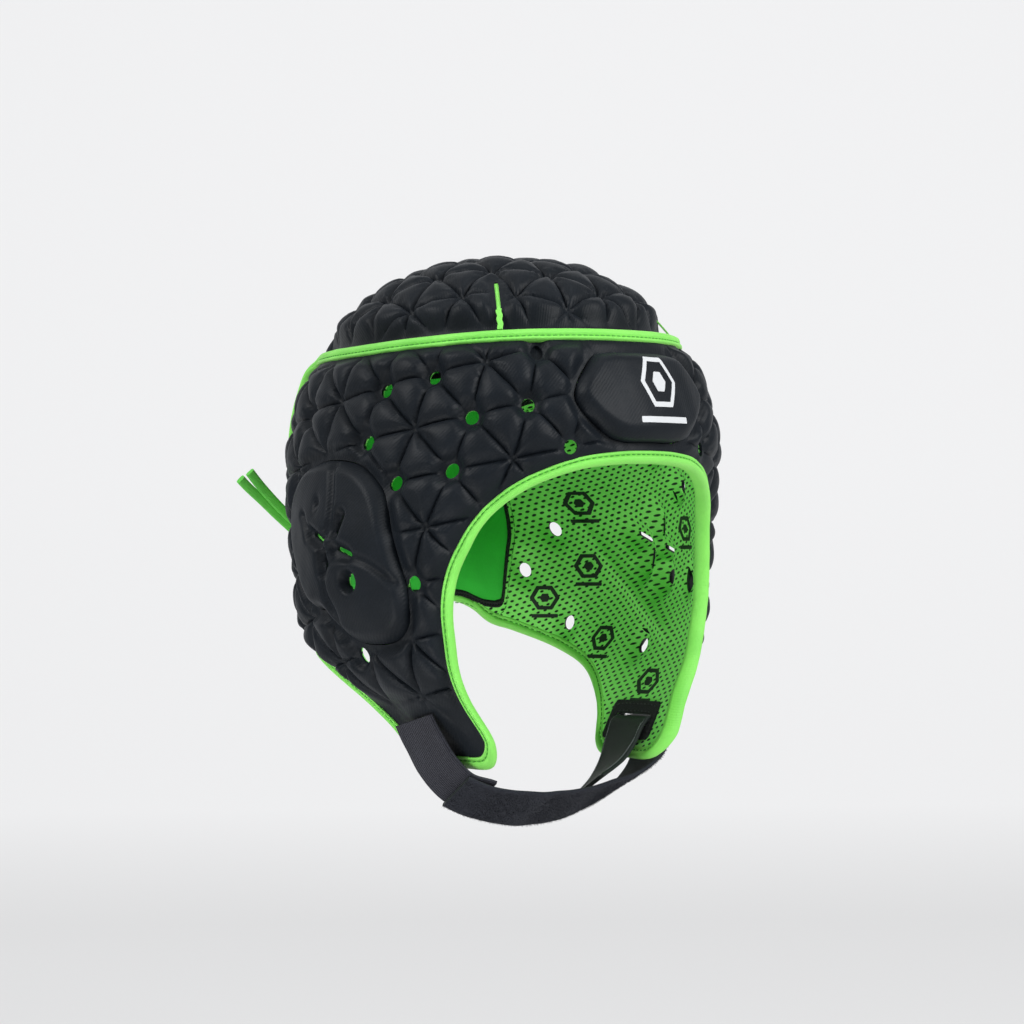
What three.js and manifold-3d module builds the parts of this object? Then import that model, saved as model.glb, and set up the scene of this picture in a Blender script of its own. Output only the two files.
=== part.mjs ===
// A padded head guard for rugby, worn: a quilted side band, a quilted crown, smooth forehead and ear
// pads, green linings and edge bindings, a laced back and a chin strap.
// Millimetres, +Z up, the face looks along -Y and the wearer's right is -X.
// The origin is where the top of the head meets the crown lining.
import * as THREE from 'three';
import { mergeVertices } from 'three/addons/utils/BufferGeometryUtils.js';
import Module from 'manifold-3d';

const wasm = await Module();
wasm.setup();

// Driving sizes of the shell
const HALF_WIDTH = 92;          // outer face at the forehead level, ear to ear
const FRONT_REACH = 108;        // axis to the outer face of the forehead
const REAR_REACH = 108;         // axis to the outer face of the back
const SHELL_DEPTH = 228;        // top of the crown to the bottom of the ear tabs
const WALL = 12;                // outer quilt face to the lining face that touches the head
const DOME_DEPTH = 107;         // top of the crown to the widest level
const DOME_POWER = 2.3;         // roundness of the dome, 2 is an ellipse

// Layers, as depths inward from the outer face
const LINING = 1.0;             // lining fabric
const GAP = 0.3;                // clearance between neighbouring pieces
const LAYER_GAP = 0.5;          // clearance between layers of cloth that curve together
const TUCK = 12;                // crown margin tucked under the side band
const TUCK_THICKNESS = 2.2;     // crown margin, pressed flat
const SEAM_SINK = 5.0;          // quilting seams lie this deep between the pillows
const EDGE_SINK = 4.0;          // pads pressed flat beside a binding
const EDGE_ROLL = 9;            // width over which a pad falls to its pressed edge

// Bindings, a folded tape round every open edge
const BINDING_WIDTH = 5.0;
const BINDING_TOP = 2.6;        // depth of the tape's outer face
const BINDING_BACK = 12.9;      // depth of its inner face, just past the lining

// Quilting
const QUILT_PITCH = 28.2;       // spacing of the seams along the band
const QUILT_RISE = 24.9;        // spacing of the seams up the band
const QUILT_SLANT = 10.5;       // degrees, the rows climb toward the front
const QUILT_LEAN = 75.2;        // degrees, the other seam direction
const VENT = 6.6;               // diameter of a vent hole

// Chin strap and lace
const STRAP_WIDTH = 25.5;
const STRAP_THICKNESS = 1.8;
const LACE = 2.0;               // diameter of the lace across the back
const TAIL_WIDTH = 4.4;         // the flat ends of the lace
const TAIL_THICKNESS = 2.0;

const LACE_GREEN = 0x35d219;
const BLACK = 0x14151b;

const radians = THREE.MathUtils.degToRad;
const mix = THREE.MathUtils.lerp;
const ease = (x) => THREE.MathUtils.smoothstep(x, 0, 1);

// Sections of the shell from the crown down. depth is a share of SHELL_DEPTH; width, front and rear are
// shares of HALF_WIDTH, FRONT_REACH and REAR_REACH; flat is 1 for an ellipse and less for flatter sides.
const SECTIONS = [
  { depth: 0.000, width: 1.00, front: 1.00, rear: 1.00, flat: 1.00 },
  { depth: 0.228, width: 1.00, front: 1.00, rear: 1.00, flat: 1.00 },
  { depth: 0.360, width: 1.01, front: 1.00, rear: 0.99, flat: 1.00 },
  { depth: 0.469, width: 1.055, front: 0.963, rear: 0.925, flat: 1.00 },
  { depth: 0.570, width: 1.10, front: 0.907, rear: 0.80, flat: 1.00 },
  { depth: 0.667, width: 1.076, front: 0.907, rear: 0.75, flat: 0.90 },
  { depth: 0.754, width: 1.00, front: 0.907, rear: 0.74, flat: 0.70 },
  { depth: 0.811, width: 0.935, front: 0.907, rear: 0.74, flat: 0.55 },
  { depth: 0.886, width: 0.815, front: 0.907, rear: 0.74, flat: 0.42 },
  { depth: 0.952, width: 0.717, front: 0.907, rear: 0.74, flat: 0.40 },
  { depth: 1.040, width: 0.600, front: 0.907, rear: 0.74, flat: 0.40 },
];

// Smooth value of one column of a table at x, rows sorted by key, slopes limited so that it never overshoots
function column(table, key, name, x) {
  const last = table.length - 1;
  const at = THREE.MathUtils.clamp(x, table[0][key], table[last][key]);
  let n = 0;
  while (n < last - 1 && at > table[n + 1][key]) n += 1;
  const step = (m) => table[m + 1][key] - table[m][key];
  const rise = (m) => (table[m + 1][name] - table[m][name]) / step(m);
  const slope = (m) => {
    if (m <= 0 || m >= last || rise(m - 1) * rise(m) <= 0) return 0;
    return 2 / (1 / rise(m - 1) + 1 / rise(m));
  };
  const h = step(n);
  const p = (at - table[n][key]) / h;
  const a = (1 + 2 * p) * (1 - p) ** 2 * table[n][name] + p * (1 - p) ** 2 * h * slope(n);
  return a + p * p * (3 - 2 * p) * table[n + 1][name] + p * p * (p - 1) * h * slope(n + 1);
}

// The flat pattern: u runs round the head from the front centre, positive toward the wearer's right,
// and v is the height of the outer face. One turn of u is a full circle of FLAT_RADIUS.
const FLAT_RADIUS = 105;
const TOP = WALL;
const along = (degrees) => FLAT_RADIUS * radians(degrees);
const height = (depthShare) => TOP - depthShare * SHELL_DEPTH;

// A point of the shell over pattern point (u, v), `sink` millimetres inward from the outer face
function shell(u, v, sink) {
  const angle = u / FLAT_RADIUS;
  const share = (TOP - v) / SHELL_DEPTH;
  const widest = TOP - DOME_DEPTH;
  const rise = Math.min(1, Math.max(0, (v - widest) / DOME_DEPTH));
  const shrink = (1 - rise ** DOME_POWER) ** (1 / DOME_POWER);
  const half = HALF_WIDTH * column(SECTIONS, 'depth', 'width', share) - sink;
  const reach = Math.cos(angle) >= 0
    ? FRONT_REACH * column(SECTIONS, 'depth', 'front', share) - sink
    : REAR_REACH * column(SECTIONS, 'depth', 'rear', share) - sink;
  const across = Math.sin(angle);
  const side = Math.sign(across) * Math.abs(across) ** column(SECTIONS, 'depth', 'flat', share);
  const z = v > widest ? widest + (DOME_DEPTH - sink) * rise : v;
  return new THREE.Vector3(-half * side * shrink, -reach * Math.cos(angle) * shrink, z);
}

// The crown is patterned on a round plane about its top: rho is the length down from the top
const CROWN_STEPS = 240;
const crownLengths = [{ rho: 0, v: TOP }];
for (let n = 1; n <= CROWN_STEPS; n += 1) {
  const before = shell(0, mix(TOP, height(0.8), ((n - 1) / CROWN_STEPS) ** 2), 0);
  const v = mix(TOP, height(0.8), (n / CROWN_STEPS) ** 2);
  const rho = crownLengths[n - 1].rho + before.distanceTo(shell(0, v, 0));
  crownLengths.push({ rho, v });
}
function lookUp(table, from, to, x) {
  let n = 0;
  const up = table[1][from] > table[0][from];
  while (n < table.length - 2 && (up ? x > table[n + 1][from] : x < table[n + 1][from])) n += 1;
  const share = (x - table[n][from]) / (table[n + 1][from] - table[n][from]);
  return mix(table[n][to], table[n + 1][to], share);
}
const crownToBand = (x, y) => [
  FLAT_RADIUS * Math.atan2(x, -y),
  lookUp(crownLengths, 'rho', 'v', Math.hypot(x, y)),
];
const bandToCrown = (u, v) => {
  const rho = lookUp(crownLengths, 'v', 'rho', v);
  return [rho * Math.sin(u / FLAT_RADIUS), -rho * Math.cos(u / FLAT_RADIUS)];
};

// Outlines on the pattern, by angle round the head in degrees and depth share, smoothed by a spline
const TOP_EDGE = [[0, 0.160], [25, 0.160], [47, 0.163], [70, 0.171], [94, 0.179], [118, 0.181],
  [132, 0.183], [137, 0.196]];
const REAR_EDGE = [[139, 0.225], [142, 0.34], [148, 0.47], [157, 0.56], [162, 0.64], [160, 0.70]];
const NECK_EDGE = [[155, 0.733], [146, 0.752], [126, 0.792], [111, 0.829], [99.5, 0.876], [91.5, 0.925],
  [87.5, 0.972]];
const TAB_EDGE = [[82, 0.996], [70, 1.0], [57, 0.994]];
const FACE_EDGE = [[51.5, 0.950], [54.2, 0.864], [53.6, 0.763], [53, 0.702], [51, 0.632], [47.2, 0.575],
  [42.7, 0.518], [36, 0.476], [23, 0.436], [10, 0.423], [0, 0.421]];
const FOREHEAD_EDGE = [[0, 0.204], [13, 0.206], [17, 0.213], [24.5, 0.294], [16, 0.362], [11, 0.377],
  [0, 0.379]];
const EAR_EDGE = [[98, 0.409], [90.5, 0.409], [82.6, 0.422], [75.8, 0.459], [71, 0.514], [68, 0.570],
  [66, 0.624], [65, 0.678], [66, 0.719], [70.2, 0.750], [78, 0.761], [86, 0.754], [91, 0.729],
  [95, 0.700], [103, 0.690], [110, 0.630], [114, 0.560], [113, 0.480], [106, 0.425]];
const BACK_SIDE = [[132, 0.262], [136, 0.31], [138.5, 0.42], [139.5, 0.49], [145, 0.60], [149, 0.685]];
const BACK_BOTTOM = [[153, 0.692], [158, 0.680], [162, 0.668], [171, 0.666], [180, 0.666]];

// Signed distance to a closed pattern polygon, negative inside
function distanceTo(polygon) {
  return (u, v) => {
    let nearest = Infinity;
    let inside = false;
    for (let n = 0, m = polygon.length - 1; n < polygon.length; m = n, n += 1) {
      const [ax, ay] = polygon[m];
      const [bx, by] = polygon[n];
      const dx = bx - ax;
      const dy = by - ay;
      const share = THREE.MathUtils.clamp(((u - ax) * dx + (v - ay) * dy) / (dx * dx + dy * dy), 0, 1);
      nearest = Math.min(nearest, Math.hypot(u - ax - share * dx, v - ay - share * dy));
      if ((ay > v) !== (by > v) && u < ax + ((v - ay) / (by - ay)) * dx) inside = !inside;
    }
    return inside ? -nearest : nearest;
  };
}
const onPattern = (rows) => rows.map(([degrees, share]) => [along(degrees), height(share)]);
// A smooth run through pattern points, `closed` or not, as many points as `count`
function smooth(points, count, closed = false) {
  const places = points.map(([x, y]) => new THREE.Vector3(x, y, 0));
  const curve = new THREE.CatmullRomCurve3(places, closed, 'centripetal');
  const run = curve.getSpacedPoints(count).map((p) => [p.x, p.y]);
  if (closed) run.pop();
  return run;
}
const mirrored = (run) => run.map(([u, v]) => [-u, v]).reverse();

// Runs of the right half of the side band, all in order round it
const tuckedRun = smooth(onPattern([...TOP_EDGE, ...REAR_EDGE]), 90);
const openRun = smooth(onPattern([...NECK_EDGE, ...TAB_EDGE, ...FACE_EDGE]), 120);
const halfBand = [...tuckedRun, ...openRun];
const bothSides = (half) => [...half, ...mirrored(half).slice(1, -1)];
const bandEdge = distanceTo(bothSides(halfBand));
const foreheadEdge = distanceTo(bothSides(smooth(onPattern(FOREHEAD_EDGE), 30)));
const rightEarEdge = distanceTo(smooth(onPattern(EAR_EDGE), 56, true));
const earEdge = (u, v) => rightEarEdge(Math.abs(u), v);

// The crown reaches TUCK below the band's top edge, and its back panel runs on down to the nape
const tuckShare = TUCK / SHELL_DEPTH;
const crownFront = TOP_EDGE.slice(0, 6).map(([degrees, share]) => [degrees, share + tuckShare]);
const halfCrown = smooth(onPattern([...crownFront, ...BACK_SIDE]), 80);
const crownBottom = smooth(onPattern(BACK_BOTTOM), 16);
const crownOutline = bothSides([...halfCrown, ...crownBottom]).map(([u, v]) => bandToCrown(u, v));
const crownPlaneEdge = distanceTo(crownOutline);
const crownEdge = (u, v) => crownPlaneEdge(...bandToCrown(u, v));

// The quilting lattice: seams in three directions, from one star point
class Lattice {
  constructor(origin, pitch, rise, slant, lean) {
    this.origin = origin;
    this.first = [-pitch * Math.cos(radians(slant)), pitch * Math.sin(radians(slant))];
    this.second = [-rise * Math.cos(radians(lean)), rise * Math.sin(radians(lean))];
  }

  at(i, j) {
    return [
      this.origin[0] + i * this.first[0] + j * this.second[0],
      this.origin[1] + i * this.first[1] + j * this.second[1],
    ];
  }

  // 0 on a seam, 1 on the top of the pillow between three seams
  pillow(u, v) {
    const [ax, ay] = this.first;
    const [bx, by] = this.second;
    const det = ax * by - ay * bx;
    const x = u - this.origin[0];
    const y = v - this.origin[1];
    const i = (x * by - y * bx) / det;
    const j = (ax * y - ay * x) / det;
    const p = i - Math.floor(i);
    const q = j - Math.floor(j);
    return 3 * (p + q < 1 ? Math.min(p, q, 1 - p - q) : Math.min(1 - p, 1 - q, p + q - 1));
  }
}
const bandLattice = new Lattice(
  [along(67.7), height(0.352)], QUILT_PITCH, QUILT_RISE, QUILT_SLANT, QUILT_LEAN,
);
const crownLattice = new Lattice([0, 0], QUILT_PITCH, QUILT_PITCH, QUILT_SLANT, QUILT_SLANT + 60);

// Vent holes at crossings of the seams, in lattice steps
const BAND_VENTS = [[-1, 1], [0, 1], [1, 0], [1, -1], [0, -1], [-1, 0], [2, 0], [3, -1], [2, 1], [1, -3],
  [-1 / 3, -4], [-11 / 3, -1], [-13 / 3, -5 / 3], [-3, -3], [-3, 1]];
const EAR_VENTS = [[-1 / 3, -8 / 3]];
const CROWN_VENTS = [[2, 0], [-2, 2], [0, 2], [0, -2], [-2, 0], [2, -2]];

const GRID_SPAN = 12;            // lattice steps that the grids reach each way

// The lattice's own triangles, wherever edge(x, y) is not far outside
function latticeGrid(lattice, edge) {
  const points = [];
  const seen = new Map();
  const vertex = (i, j) => {
    const key = `${i},${j}`;
    if (!seen.has(key)) seen.set(key, points.push(lattice.at(i, j)) - 1);
    return seen.get(key);
  };
  const triangles = [];
  for (let i = -GRID_SPAN; i < GRID_SPAN; i += 1) {
    for (let j = -GRID_SPAN; j < GRID_SPAN; j += 1) {
      if (edge(...lattice.at(i + 0.5, j + 0.5)) < 2 * QUILT_PITCH) {
        triangles.push([vertex(i, j), vertex(i + 1, j), vertex(i, j + 1)]);
        triangles.push([vertex(i + 1, j), vertex(i + 1, j + 1), vertex(i, j + 1)]);
      }
    }
  }
  return { points, triangles };
}

// Splits each triangle into six round its middle, where the top of a pillow stands
function peaked({ points, triangles }) {
  const middles = new Map();
  const middle = (p, q) => {
    const key = `${Math.min(p, q)},${Math.max(p, q)}`;
    if (!middles.has(key)) {
      middles.set(key, points.push([(points[p][0] + points[q][0]) / 2, (points[p][1] + points[q][1]) / 2]) - 1);
    }
    return middles.get(key);
  };
  const split = triangles.flatMap((corners) => {
    const mean = (k) => corners.reduce((sum, p) => sum + points[p][k], 0) / 3;
    const top = points.push([mean(0), mean(1)]) - 1;
    return corners.flatMap((p, n) => {
      const q = corners[(n + 1) % 3];
      return [[p, middle(p, q), top], [middle(p, q), q, top]];
    });
  });
  return { points, triangles: split };
}

// Halves every side whose middle lies where wanted(x, y) holds
function refine({ points, triangles }, wanted) {
  const middles = new Map();
  const middle = (p, q) => {
    const key = `${Math.min(p, q)},${Math.max(p, q)}`;
    if (!middles.has(key)) {
      const at = [(points[p][0] + points[q][0]) / 2, (points[p][1] + points[q][1]) / 2];
      middles.set(key, wanted(...at) ? points.push(at) - 1 : -1);
    }
    return middles.get(key);
  };
  const split = triangles.flatMap((corners) => {
    const [a, b, c] = corners;
    const halves = [middle(a, b), middle(b, c), middle(c, a)];
    const count = halves.filter((m) => m >= 0).length;
    if (count === 0) return [corners];
    if (count === 3) {
      const [ab, bc, ca] = halves;
      return [[a, ab, ca], [ab, b, bc], [ca, bc, c], [ab, bc, ca]];
    }
    const turn = count === 1 ? halves.findIndex((m) => m >= 0) : (halves.findIndex((m) => m < 0) + 1) % 3;
    const [p, q, r] = [0, 1, 2].map((n) => corners[(turn + n) % 3]);
    const [pq, qr] = [halves[turn], halves[(turn + 1) % 3]];
    if (count === 1) return [[p, pq, r], [pq, q, r]];
    return [[pq, q, qr], [p, pq, qr], [p, qr, r]];
  });
  return { points, triangles: split };
}

// Cuts a grid to the region where edge(x, y) is negative: points near the edge move onto it, and the
// triangles that still cross it are cut
function clip({ points, triangles }, edge) {
  const reach = points.map(() => Infinity);
  triangles.forEach((corners) => corners.forEach((p, n) => {
    const q = corners[(n + 1) % 3];
    const length = Math.hypot(points[p][0] - points[q][0], points[p][1] - points[q][1]);
    reach[p] = Math.min(reach[p], length);
    reach[q] = Math.min(reach[q], length);
  }));
  const slopeOf = (x, y) => [
    (edge(x + 0.05, y) - edge(x - 0.05, y)) / 0.1,
    (edge(x, y + 0.05) - edge(x, y - 0.05)) / 0.1,
  ];
  const depth = points.map(([x, y]) => edge(x, y));
  points.forEach((point, n) => {
    if (!(Math.abs(depth[n]) < 0.36 * reach[n])) return;
    for (let turn = 0; turn < 3; turn += 1) {
      const d = edge(...point);
      const [sx, sy] = slopeOf(...point);
      const pull = d / Math.max(0.2, sx * sx + sy * sy);
      point[0] -= pull * sx;
      point[1] -= pull * sy;
    }
    depth[n] = 0;
  });
  const crossings = new Map();
  const crossing = (p, q) => {
    const key = `${Math.min(p, q)},${Math.max(p, q)}`;
    if (!crossings.has(key)) {
      let [inner, outer] = depth[p] < 0 ? [points[p], points[q]] : [points[q], points[p]];
      for (let n = 0; n < 18; n += 1) {
        const middle = [(inner[0] + outer[0]) / 2, (inner[1] + outer[1]) / 2];
        if (edge(...middle) < 0) inner = middle;
        else outer = middle;
      }
      crossings.set(key, points.push(inner) - 1);
      depth.push(0);
    }
    return crossings.get(key);
  };
  const kept = [];
  triangles.forEach((corners) => {
    const ring = [];
    corners.forEach((p, n) => {
      const q = corners[(n + 1) % 3];
      if (depth[p] <= 0) ring.push(p);
      if (depth[p] * depth[q] < 0) ring.push(crossing(p, q));
    });
    if (ring.length < 3) return;
    if (ring.every((p) => depth[p] === 0)) {
      const mean = (k) => ring.reduce((sum, p) => sum + points[p][k], 0) / ring.length;
      if (edge(mean(0), mean(1)) > -0.06 * reach[ring[0]]) return;
    }
    for (let n = 1; n + 1 < ring.length; n += 1) kept.push([ring[0], ring[n], ring[n + 1]]);
  });
  return { points, triangles: kept };
}

// The band's quilting on both sides of the face, cut to an edge and pierced by the vents
function bandPattern(edge, vents, prepare) {
  const half = clip(latticeGrid(bandLattice, edge), (u) => -u);
  const holes = vents.map(([i, j]) => bandLattice.at(i, j)).flatMap(([u, v]) => [[u, v], [-u, v]]);
  return pierce(clip(prepare(withMirror(half)), edge), holes, VENT);
}

// Opens a six-sided hole of the given diameter at the vertex nearest each place, where cloth is all round
function pierce(mesh, places, diameter) {
  const { points } = mesh;
  let { triangles } = mesh;
  places.forEach(([x, y]) => {
    const distance = ([px, py]) => Math.hypot(px - x, py - y);
    const centre = points.reduce((best, point, n) => (distance(point) < distance(points[best]) ? n : best), 0);
    const round = triangles.filter((corners) => corners.includes(centre));
    if (distance(points[centre]) > diameter || round.length !== 6) return;
    const rim = new Map();
    const rimPoint = (p) => {
      if (!rim.has(p)) {
        const [cx, cy] = points[centre];
        const dx = points[p][0] - cx;
        const dy = points[p][1] - cy;
        const share = diameter / 2 / Math.hypot(dx, dy);
        rim.set(p, points.push([cx + dx * share, cy + dy * share]) - 1);
      }
      return rim.get(p);
    };
    triangles = triangles.filter((corners) => !corners.includes(centre));
    round.forEach((corners) => {
      const turn = corners.indexOf(centre);
      const p = corners[(turn + 1) % 3];
      const q = corners[(turn + 2) % 3];
      triangles.push([rimPoint(p), p, q], [rimPoint(p), q, rimPoint(q)]);
    });
  });
  return { points, triangles };
}

// The same pattern on both sides of the front centre, joined along u = 0
function withMirror(mesh) {
  const points = [...mesh.points];
  const twin = mesh.points.map(([u, v], n) => (Math.abs(u) < 1e-4 ? n : points.push([-u, v]) - 1));
  const other = mesh.triangles.map(([a, b, c]) => [twin[a], twin[c], twin[b]]);
  return { points, triangles: [...mesh.triangles, ...other] };
}

// A closed body from positions and triangles, turned so that its faces point out
function body(positions, triangles) {
  let volume = 0;
  triangles.forEach(([a, b, c]) => {
    volume += positions[a].dot(new THREE.Vector3().crossVectors(positions[b], positions[c]));
  });
  const index = triangles.flatMap(([a, b, c]) => (volume > 0 ? [a, b, c] : [a, c, b]));
  const geometry = new THREE.BufferGeometry();
  geometry.setAttribute('position', new THREE.Float32BufferAttribute(positions.flatMap((p) => p.toArray()), 3));
  geometry.setIndex(index);
  return geometry;
}

// Cloth or padding over a flat pattern: outer and inner give its depths, place puts it on the shell
function padded(mesh, outer, inner, place) {
  const used = [...new Set(mesh.triangles.flat())];
  const order = new Map(used.map((p, n) => [p, n]));
  const count = used.length;
  const positions = [
    ...used.map((p) => place(...mesh.points[p], outer(...mesh.points[p]))),
    ...used.map((p) => place(...mesh.points[p], inner(...mesh.points[p]))),
  ];
  const triangles = [];
  const edges = new Set();
  mesh.triangles.forEach((corners) => {
    const [a, b, c] = corners.map((p) => order.get(p));
    triangles.push([a, b, c], [a + count, c + count, b + count]);
    [[a, b], [b, c], [c, a]].forEach(([p, q]) => edges.add(`${p},${q}`));
  });
  edges.forEach((edge) => {
    const [p, q] = edge.split(',').map(Number);
    if (edges.has(`${q},${p}`)) return;
    triangles.push([q, p, p + count], [q, p + count, q + count]);
  });
  return body(positions, triangles);
}

// A strip of constant section along rows of frames; section points are [across, deep]
function strip(rows, section, place, closed = false) {
  const sides = section.length;
  const positions = rows.flatMap((row) => section.map(([across, deep]) => place(row, across, deep)));
  const triangles = [];
  const last = closed ? rows.length : rows.length - 1;
  for (let n = 0; n < last; n += 1) {
    const near = n * sides;
    const far = ((n + 1) % rows.length) * sides;
    for (let m = 0; m < sides; m += 1) {
      const k = (m + 1) % sides;
      triangles.push([near + m, near + k, far + k], [near + m, far + k, far + m]);
    }
  }
  if (!closed) {
    const end = (rows.length - 1) * sides;
    for (let m = 1; m + 1 < sides; m += 1) triangles.push([0, m + 1, m], [end, end + m, end + m + 1]);
  }
  return body(positions, triangles);
}

// Frames along a pattern run, with the direction into the cloth
function frames(run, edge) {
  return run.map(([u, v], n) => {
    const [ax, ay] = run[Math.max(0, n - 1)];
    const [bx, by] = run[Math.min(run.length - 1, n + 1)];
    const length = Math.hypot(bx - ax, by - ay);
    const across = [-(by - ay) / length, (bx - ax) / length];
    const turn = edge(u + across[0], v + across[1]) < edge(u - across[0], v - across[1]) ? 1 : -1;
    return { u, v, across: [across[0] * turn, across[1] * turn] };
  });
}
const onShell = (row, across, deep) => (
  shell(row.u + across * row.across[0], row.v + across * row.across[1], deep)
);

// How far each pad is pressed: quilted pillows, flat beside edges and on the tab ends
const TUCK_HOLD = 3;             // the crown stays pressed flat this far past the band's edge
const PANEL_FLAT = 7.2;          // depth of the plain back panel between the band's rear edges
const PANEL_FROM = 0.40;         // depth share where the crown's quilting ends in the back panel
const TAB_FLAT_FROM = 0.900;     // depth share below which the tabs are flat, under the chin strap
const FADE = 14;                 // length over which quilting fades out
const BAND_BACK = WALL - LINING - LAYER_GAP;           // inner face of the band over its lining
const CROWN_BACK = BAND_BACK - LAYER_GAP;              // inner face of the crown over its lining
const TUCK_FRONT = CROWN_BACK - TUCK_THICKNESS;        // outer face of the tucked margin
const TUCK_BACK = TUCK_FRONT - 4 * LAYER_GAP;          // inner face of the band over that margin
const TUCK_CLEAR = 13;           // the band's inner face stays lifted this far past the tucked margin
const GROOVE = 1.0;              // gap round the forehead and ear pads

const bandInner = (u, v) => mix(TUCK_BACK, BAND_BACK, ease((crownEdge(u, v) - TUCK_CLEAR) / 3));
function bandOuter(u, v) {
  const fade = ease((v - height(TAB_FLAT_FROM)) / FADE);
  const quilt = SEAM_SINK * (1 - fade * bandLattice.pillow(Math.abs(u), v));
  const roll = ease((-bandEdge(u, v) - BINDING_WIDTH) / EDGE_ROLL);
  return mix(EDGE_SINK, quilt, roll);
}
function crownOuter(u, v) {
  const [x, y] = bandToCrown(u, v);
  const fade = ease((v - height(PANEL_FROM)) / FADE);
  const quilt = mix(PANEL_FLAT, 1.2 + SEAM_SINK * (1 - crownLattice.pillow(x, y)), fade);
  const roll = Math.min(ease((bandEdge(u, v) - TUCK_HOLD) / EDGE_ROLL), ease(-crownEdge(u, v) / EDGE_ROLL));
  return mix(TUCK_FRONT, quilt, roll);
}

const taped = (u, v) => bandEdge(u, v) + BINDING_WIDTH + 2 * GAP;
const LINING_SEAM = 2.4;         // gap between the two linings, under the overlock seam
const REFINED = 9;               // grids are halved within this distance of an edge
const padPattern = bandPattern(
  (u, v) => Math.max(taped(u, v), GROOVE / 2 - foreheadEdge(u, v), GROOVE / 2 - earEdge(u, v)),
  BAND_VENTS,
  (grid) => refine(
    refine(peaked(grid), (u, v) => Math.min(Math.abs(foreheadEdge(u, v)), Math.abs(earEdge(u, v))) < REFINED),
    (u, v) => Math.abs(foreheadEdge(u, v)) < REFINED / 2,
  ),
);
const liningEdge = (u, v) => Math.max(taped(u, v), LINING_SEAM - crownEdge(u, v));
const liningPattern = bandPattern(
  liningEdge, [...BAND_VENTS, ...EAR_VENTS],
  (grid) => refine(grid, (u, v) => Math.abs(liningEdge(u, v)) < REFINED || Math.abs(u) > along(50)),
);
const foreheadPattern = bandPattern(
  (u, v) => foreheadEdge(u, v) + GROOVE / 2, [],
  (grid) => refine(peaked(grid), (u, v) => foreheadEdge(u, v) > -REFINED),
);
const earPattern = pierce(
  clip(peaked(latticeGrid(bandLattice, rightEarEdge)), (u, v) => rightEarEdge(u, v) + GROOVE / 2),
  EAR_VENTS.map(([i, j]) => bandLattice.at(i, j)), VENT,
);
const crownGrid = () => latticeGrid(crownLattice, crownPlaneEdge);
const crownVents = CROWN_VENTS.map(([i, j]) => crownLattice.at(i, j));
const crownPattern = pierce(clip(peaked(crownGrid()), crownPlaneEdge), crownVents, VENT / 2);
const STEEP_FROM = 100;         // the crown turns down steeply this far out on its plane
const steep = (x, y) => Math.hypot(x, y) > STEEP_FROM || crownPlaneEdge(x, y) > -REFINED;
const crownLiningPattern = pierce(
  clip(refine(crownGrid(), steep), crownPlaneEdge), crownVents, VENT / 2,
);
const flip = (mesh) => ({
  points: mesh.points.map(([u, v]) => [-u, v]),
  triangles: mesh.triangles.map(([a, b, c]) => [a, c, b]),
});
const placeCrown = (x, y, deep) => {
  const [u, v] = crownToBand(x, y);
  return shell(u, v, deep);
};

// A smooth pad: swells to `swell` above the quilt and rolls down at its own edge
const SMOOTH_SWELL = -0.5;
const SMOOTH_SHOULDER = 7;       // width of the rounded shoulder of a smooth pad
const smoothOuter = (edge) => (u, v) => mix(
  EDGE_SINK, SMOOTH_SWELL, Math.sqrt(ease((-edge(u, v) - GROOVE / 2) / SMOOTH_SHOULDER)),
);

// Cutters through the shell over a pattern quadrilateral
function cutter(corners, from, to) {
  const ring = (deep) => corners.map(([u, v]) => shell(u, v, deep));
  const positions = [...ring(from), ...ring(to)];
  return body(positions, [[0, 2, 1], [0, 3, 2], [4, 5, 6], [4, 6, 7],
    ...[0, 1, 2, 3].flatMap((n) => [[n, (n + 1) % 4, 4 + ((n + 1) % 4)], [n, 4 + ((n + 1) % 4), 4 + n]])]);
}
function welded(geometry, tolerance) {
  const bare = geometry.clone();
  bare.deleteAttribute('normal');
  bare.deleteAttribute('uv');
  return mergeVertices(bare, tolerance);
}
function solidOf(geometry) {
  const merged = welded(geometry, 1e-5);
  return new wasm.Manifold(new wasm.Mesh({
    numProp: 3,
    vertProperties: new Float32Array(merged.attributes.position.array),
    triVerts: new Uint32Array(merged.index.array),
  }));
}
function geometryOf(solid) {
  const mesh = solid.getMesh();
  const geometry = new THREE.BufferGeometry();
  geometry.setAttribute('position', new THREE.BufferAttribute(new Float32Array(mesh.vertProperties), 3));
  geometry.setIndex(Array.from(mesh.triVerts));
  return geometry;
}
const cutThrough = (geometry, cutters) => geometryOf(
  cutters.reduce((solid, tool) => solid.subtract(solidOf(tool)), solidOf(geometry)),
);

// Ear slits: five short cuts in a star, as offsets from its centre toward the front and up
const EAR_STAR = [88.8, 0.566];
const SLIT_WIDTH = 2.2;
const EAR_SLITS = [
  { from: [4, 4], to: [6.5, 11] },
  { from: [-7, 0], to: [-16, 3.5] },
  { from: [5, -3], to: [13, -5.5] },
  { from: [-4.5, -5], to: [-5.5, -12.5] },
];
const earCutters = (side) => EAR_SLITS.map(({ from, to }) => {
  const [u, v] = [along(EAR_STAR[0]), height(EAR_STAR[1])];
  const length = Math.hypot(to[0] - from[0], to[1] - from[1]);
  const [ax, ay] = [(to[0] - from[0]) / length, (to[1] - from[1]) / length];
  const corner = ([x, y], across) => [
    side * (u - x + (ay * across * SLIT_WIDTH) / 2),
    v + y + (ax * across * SLIT_WIDTH) / 2,
  ];
  return cutter([corner(from, -1), corner(to, -1), corner(to, 1), corner(from, 1)], -3, WALL + 2);
});

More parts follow.
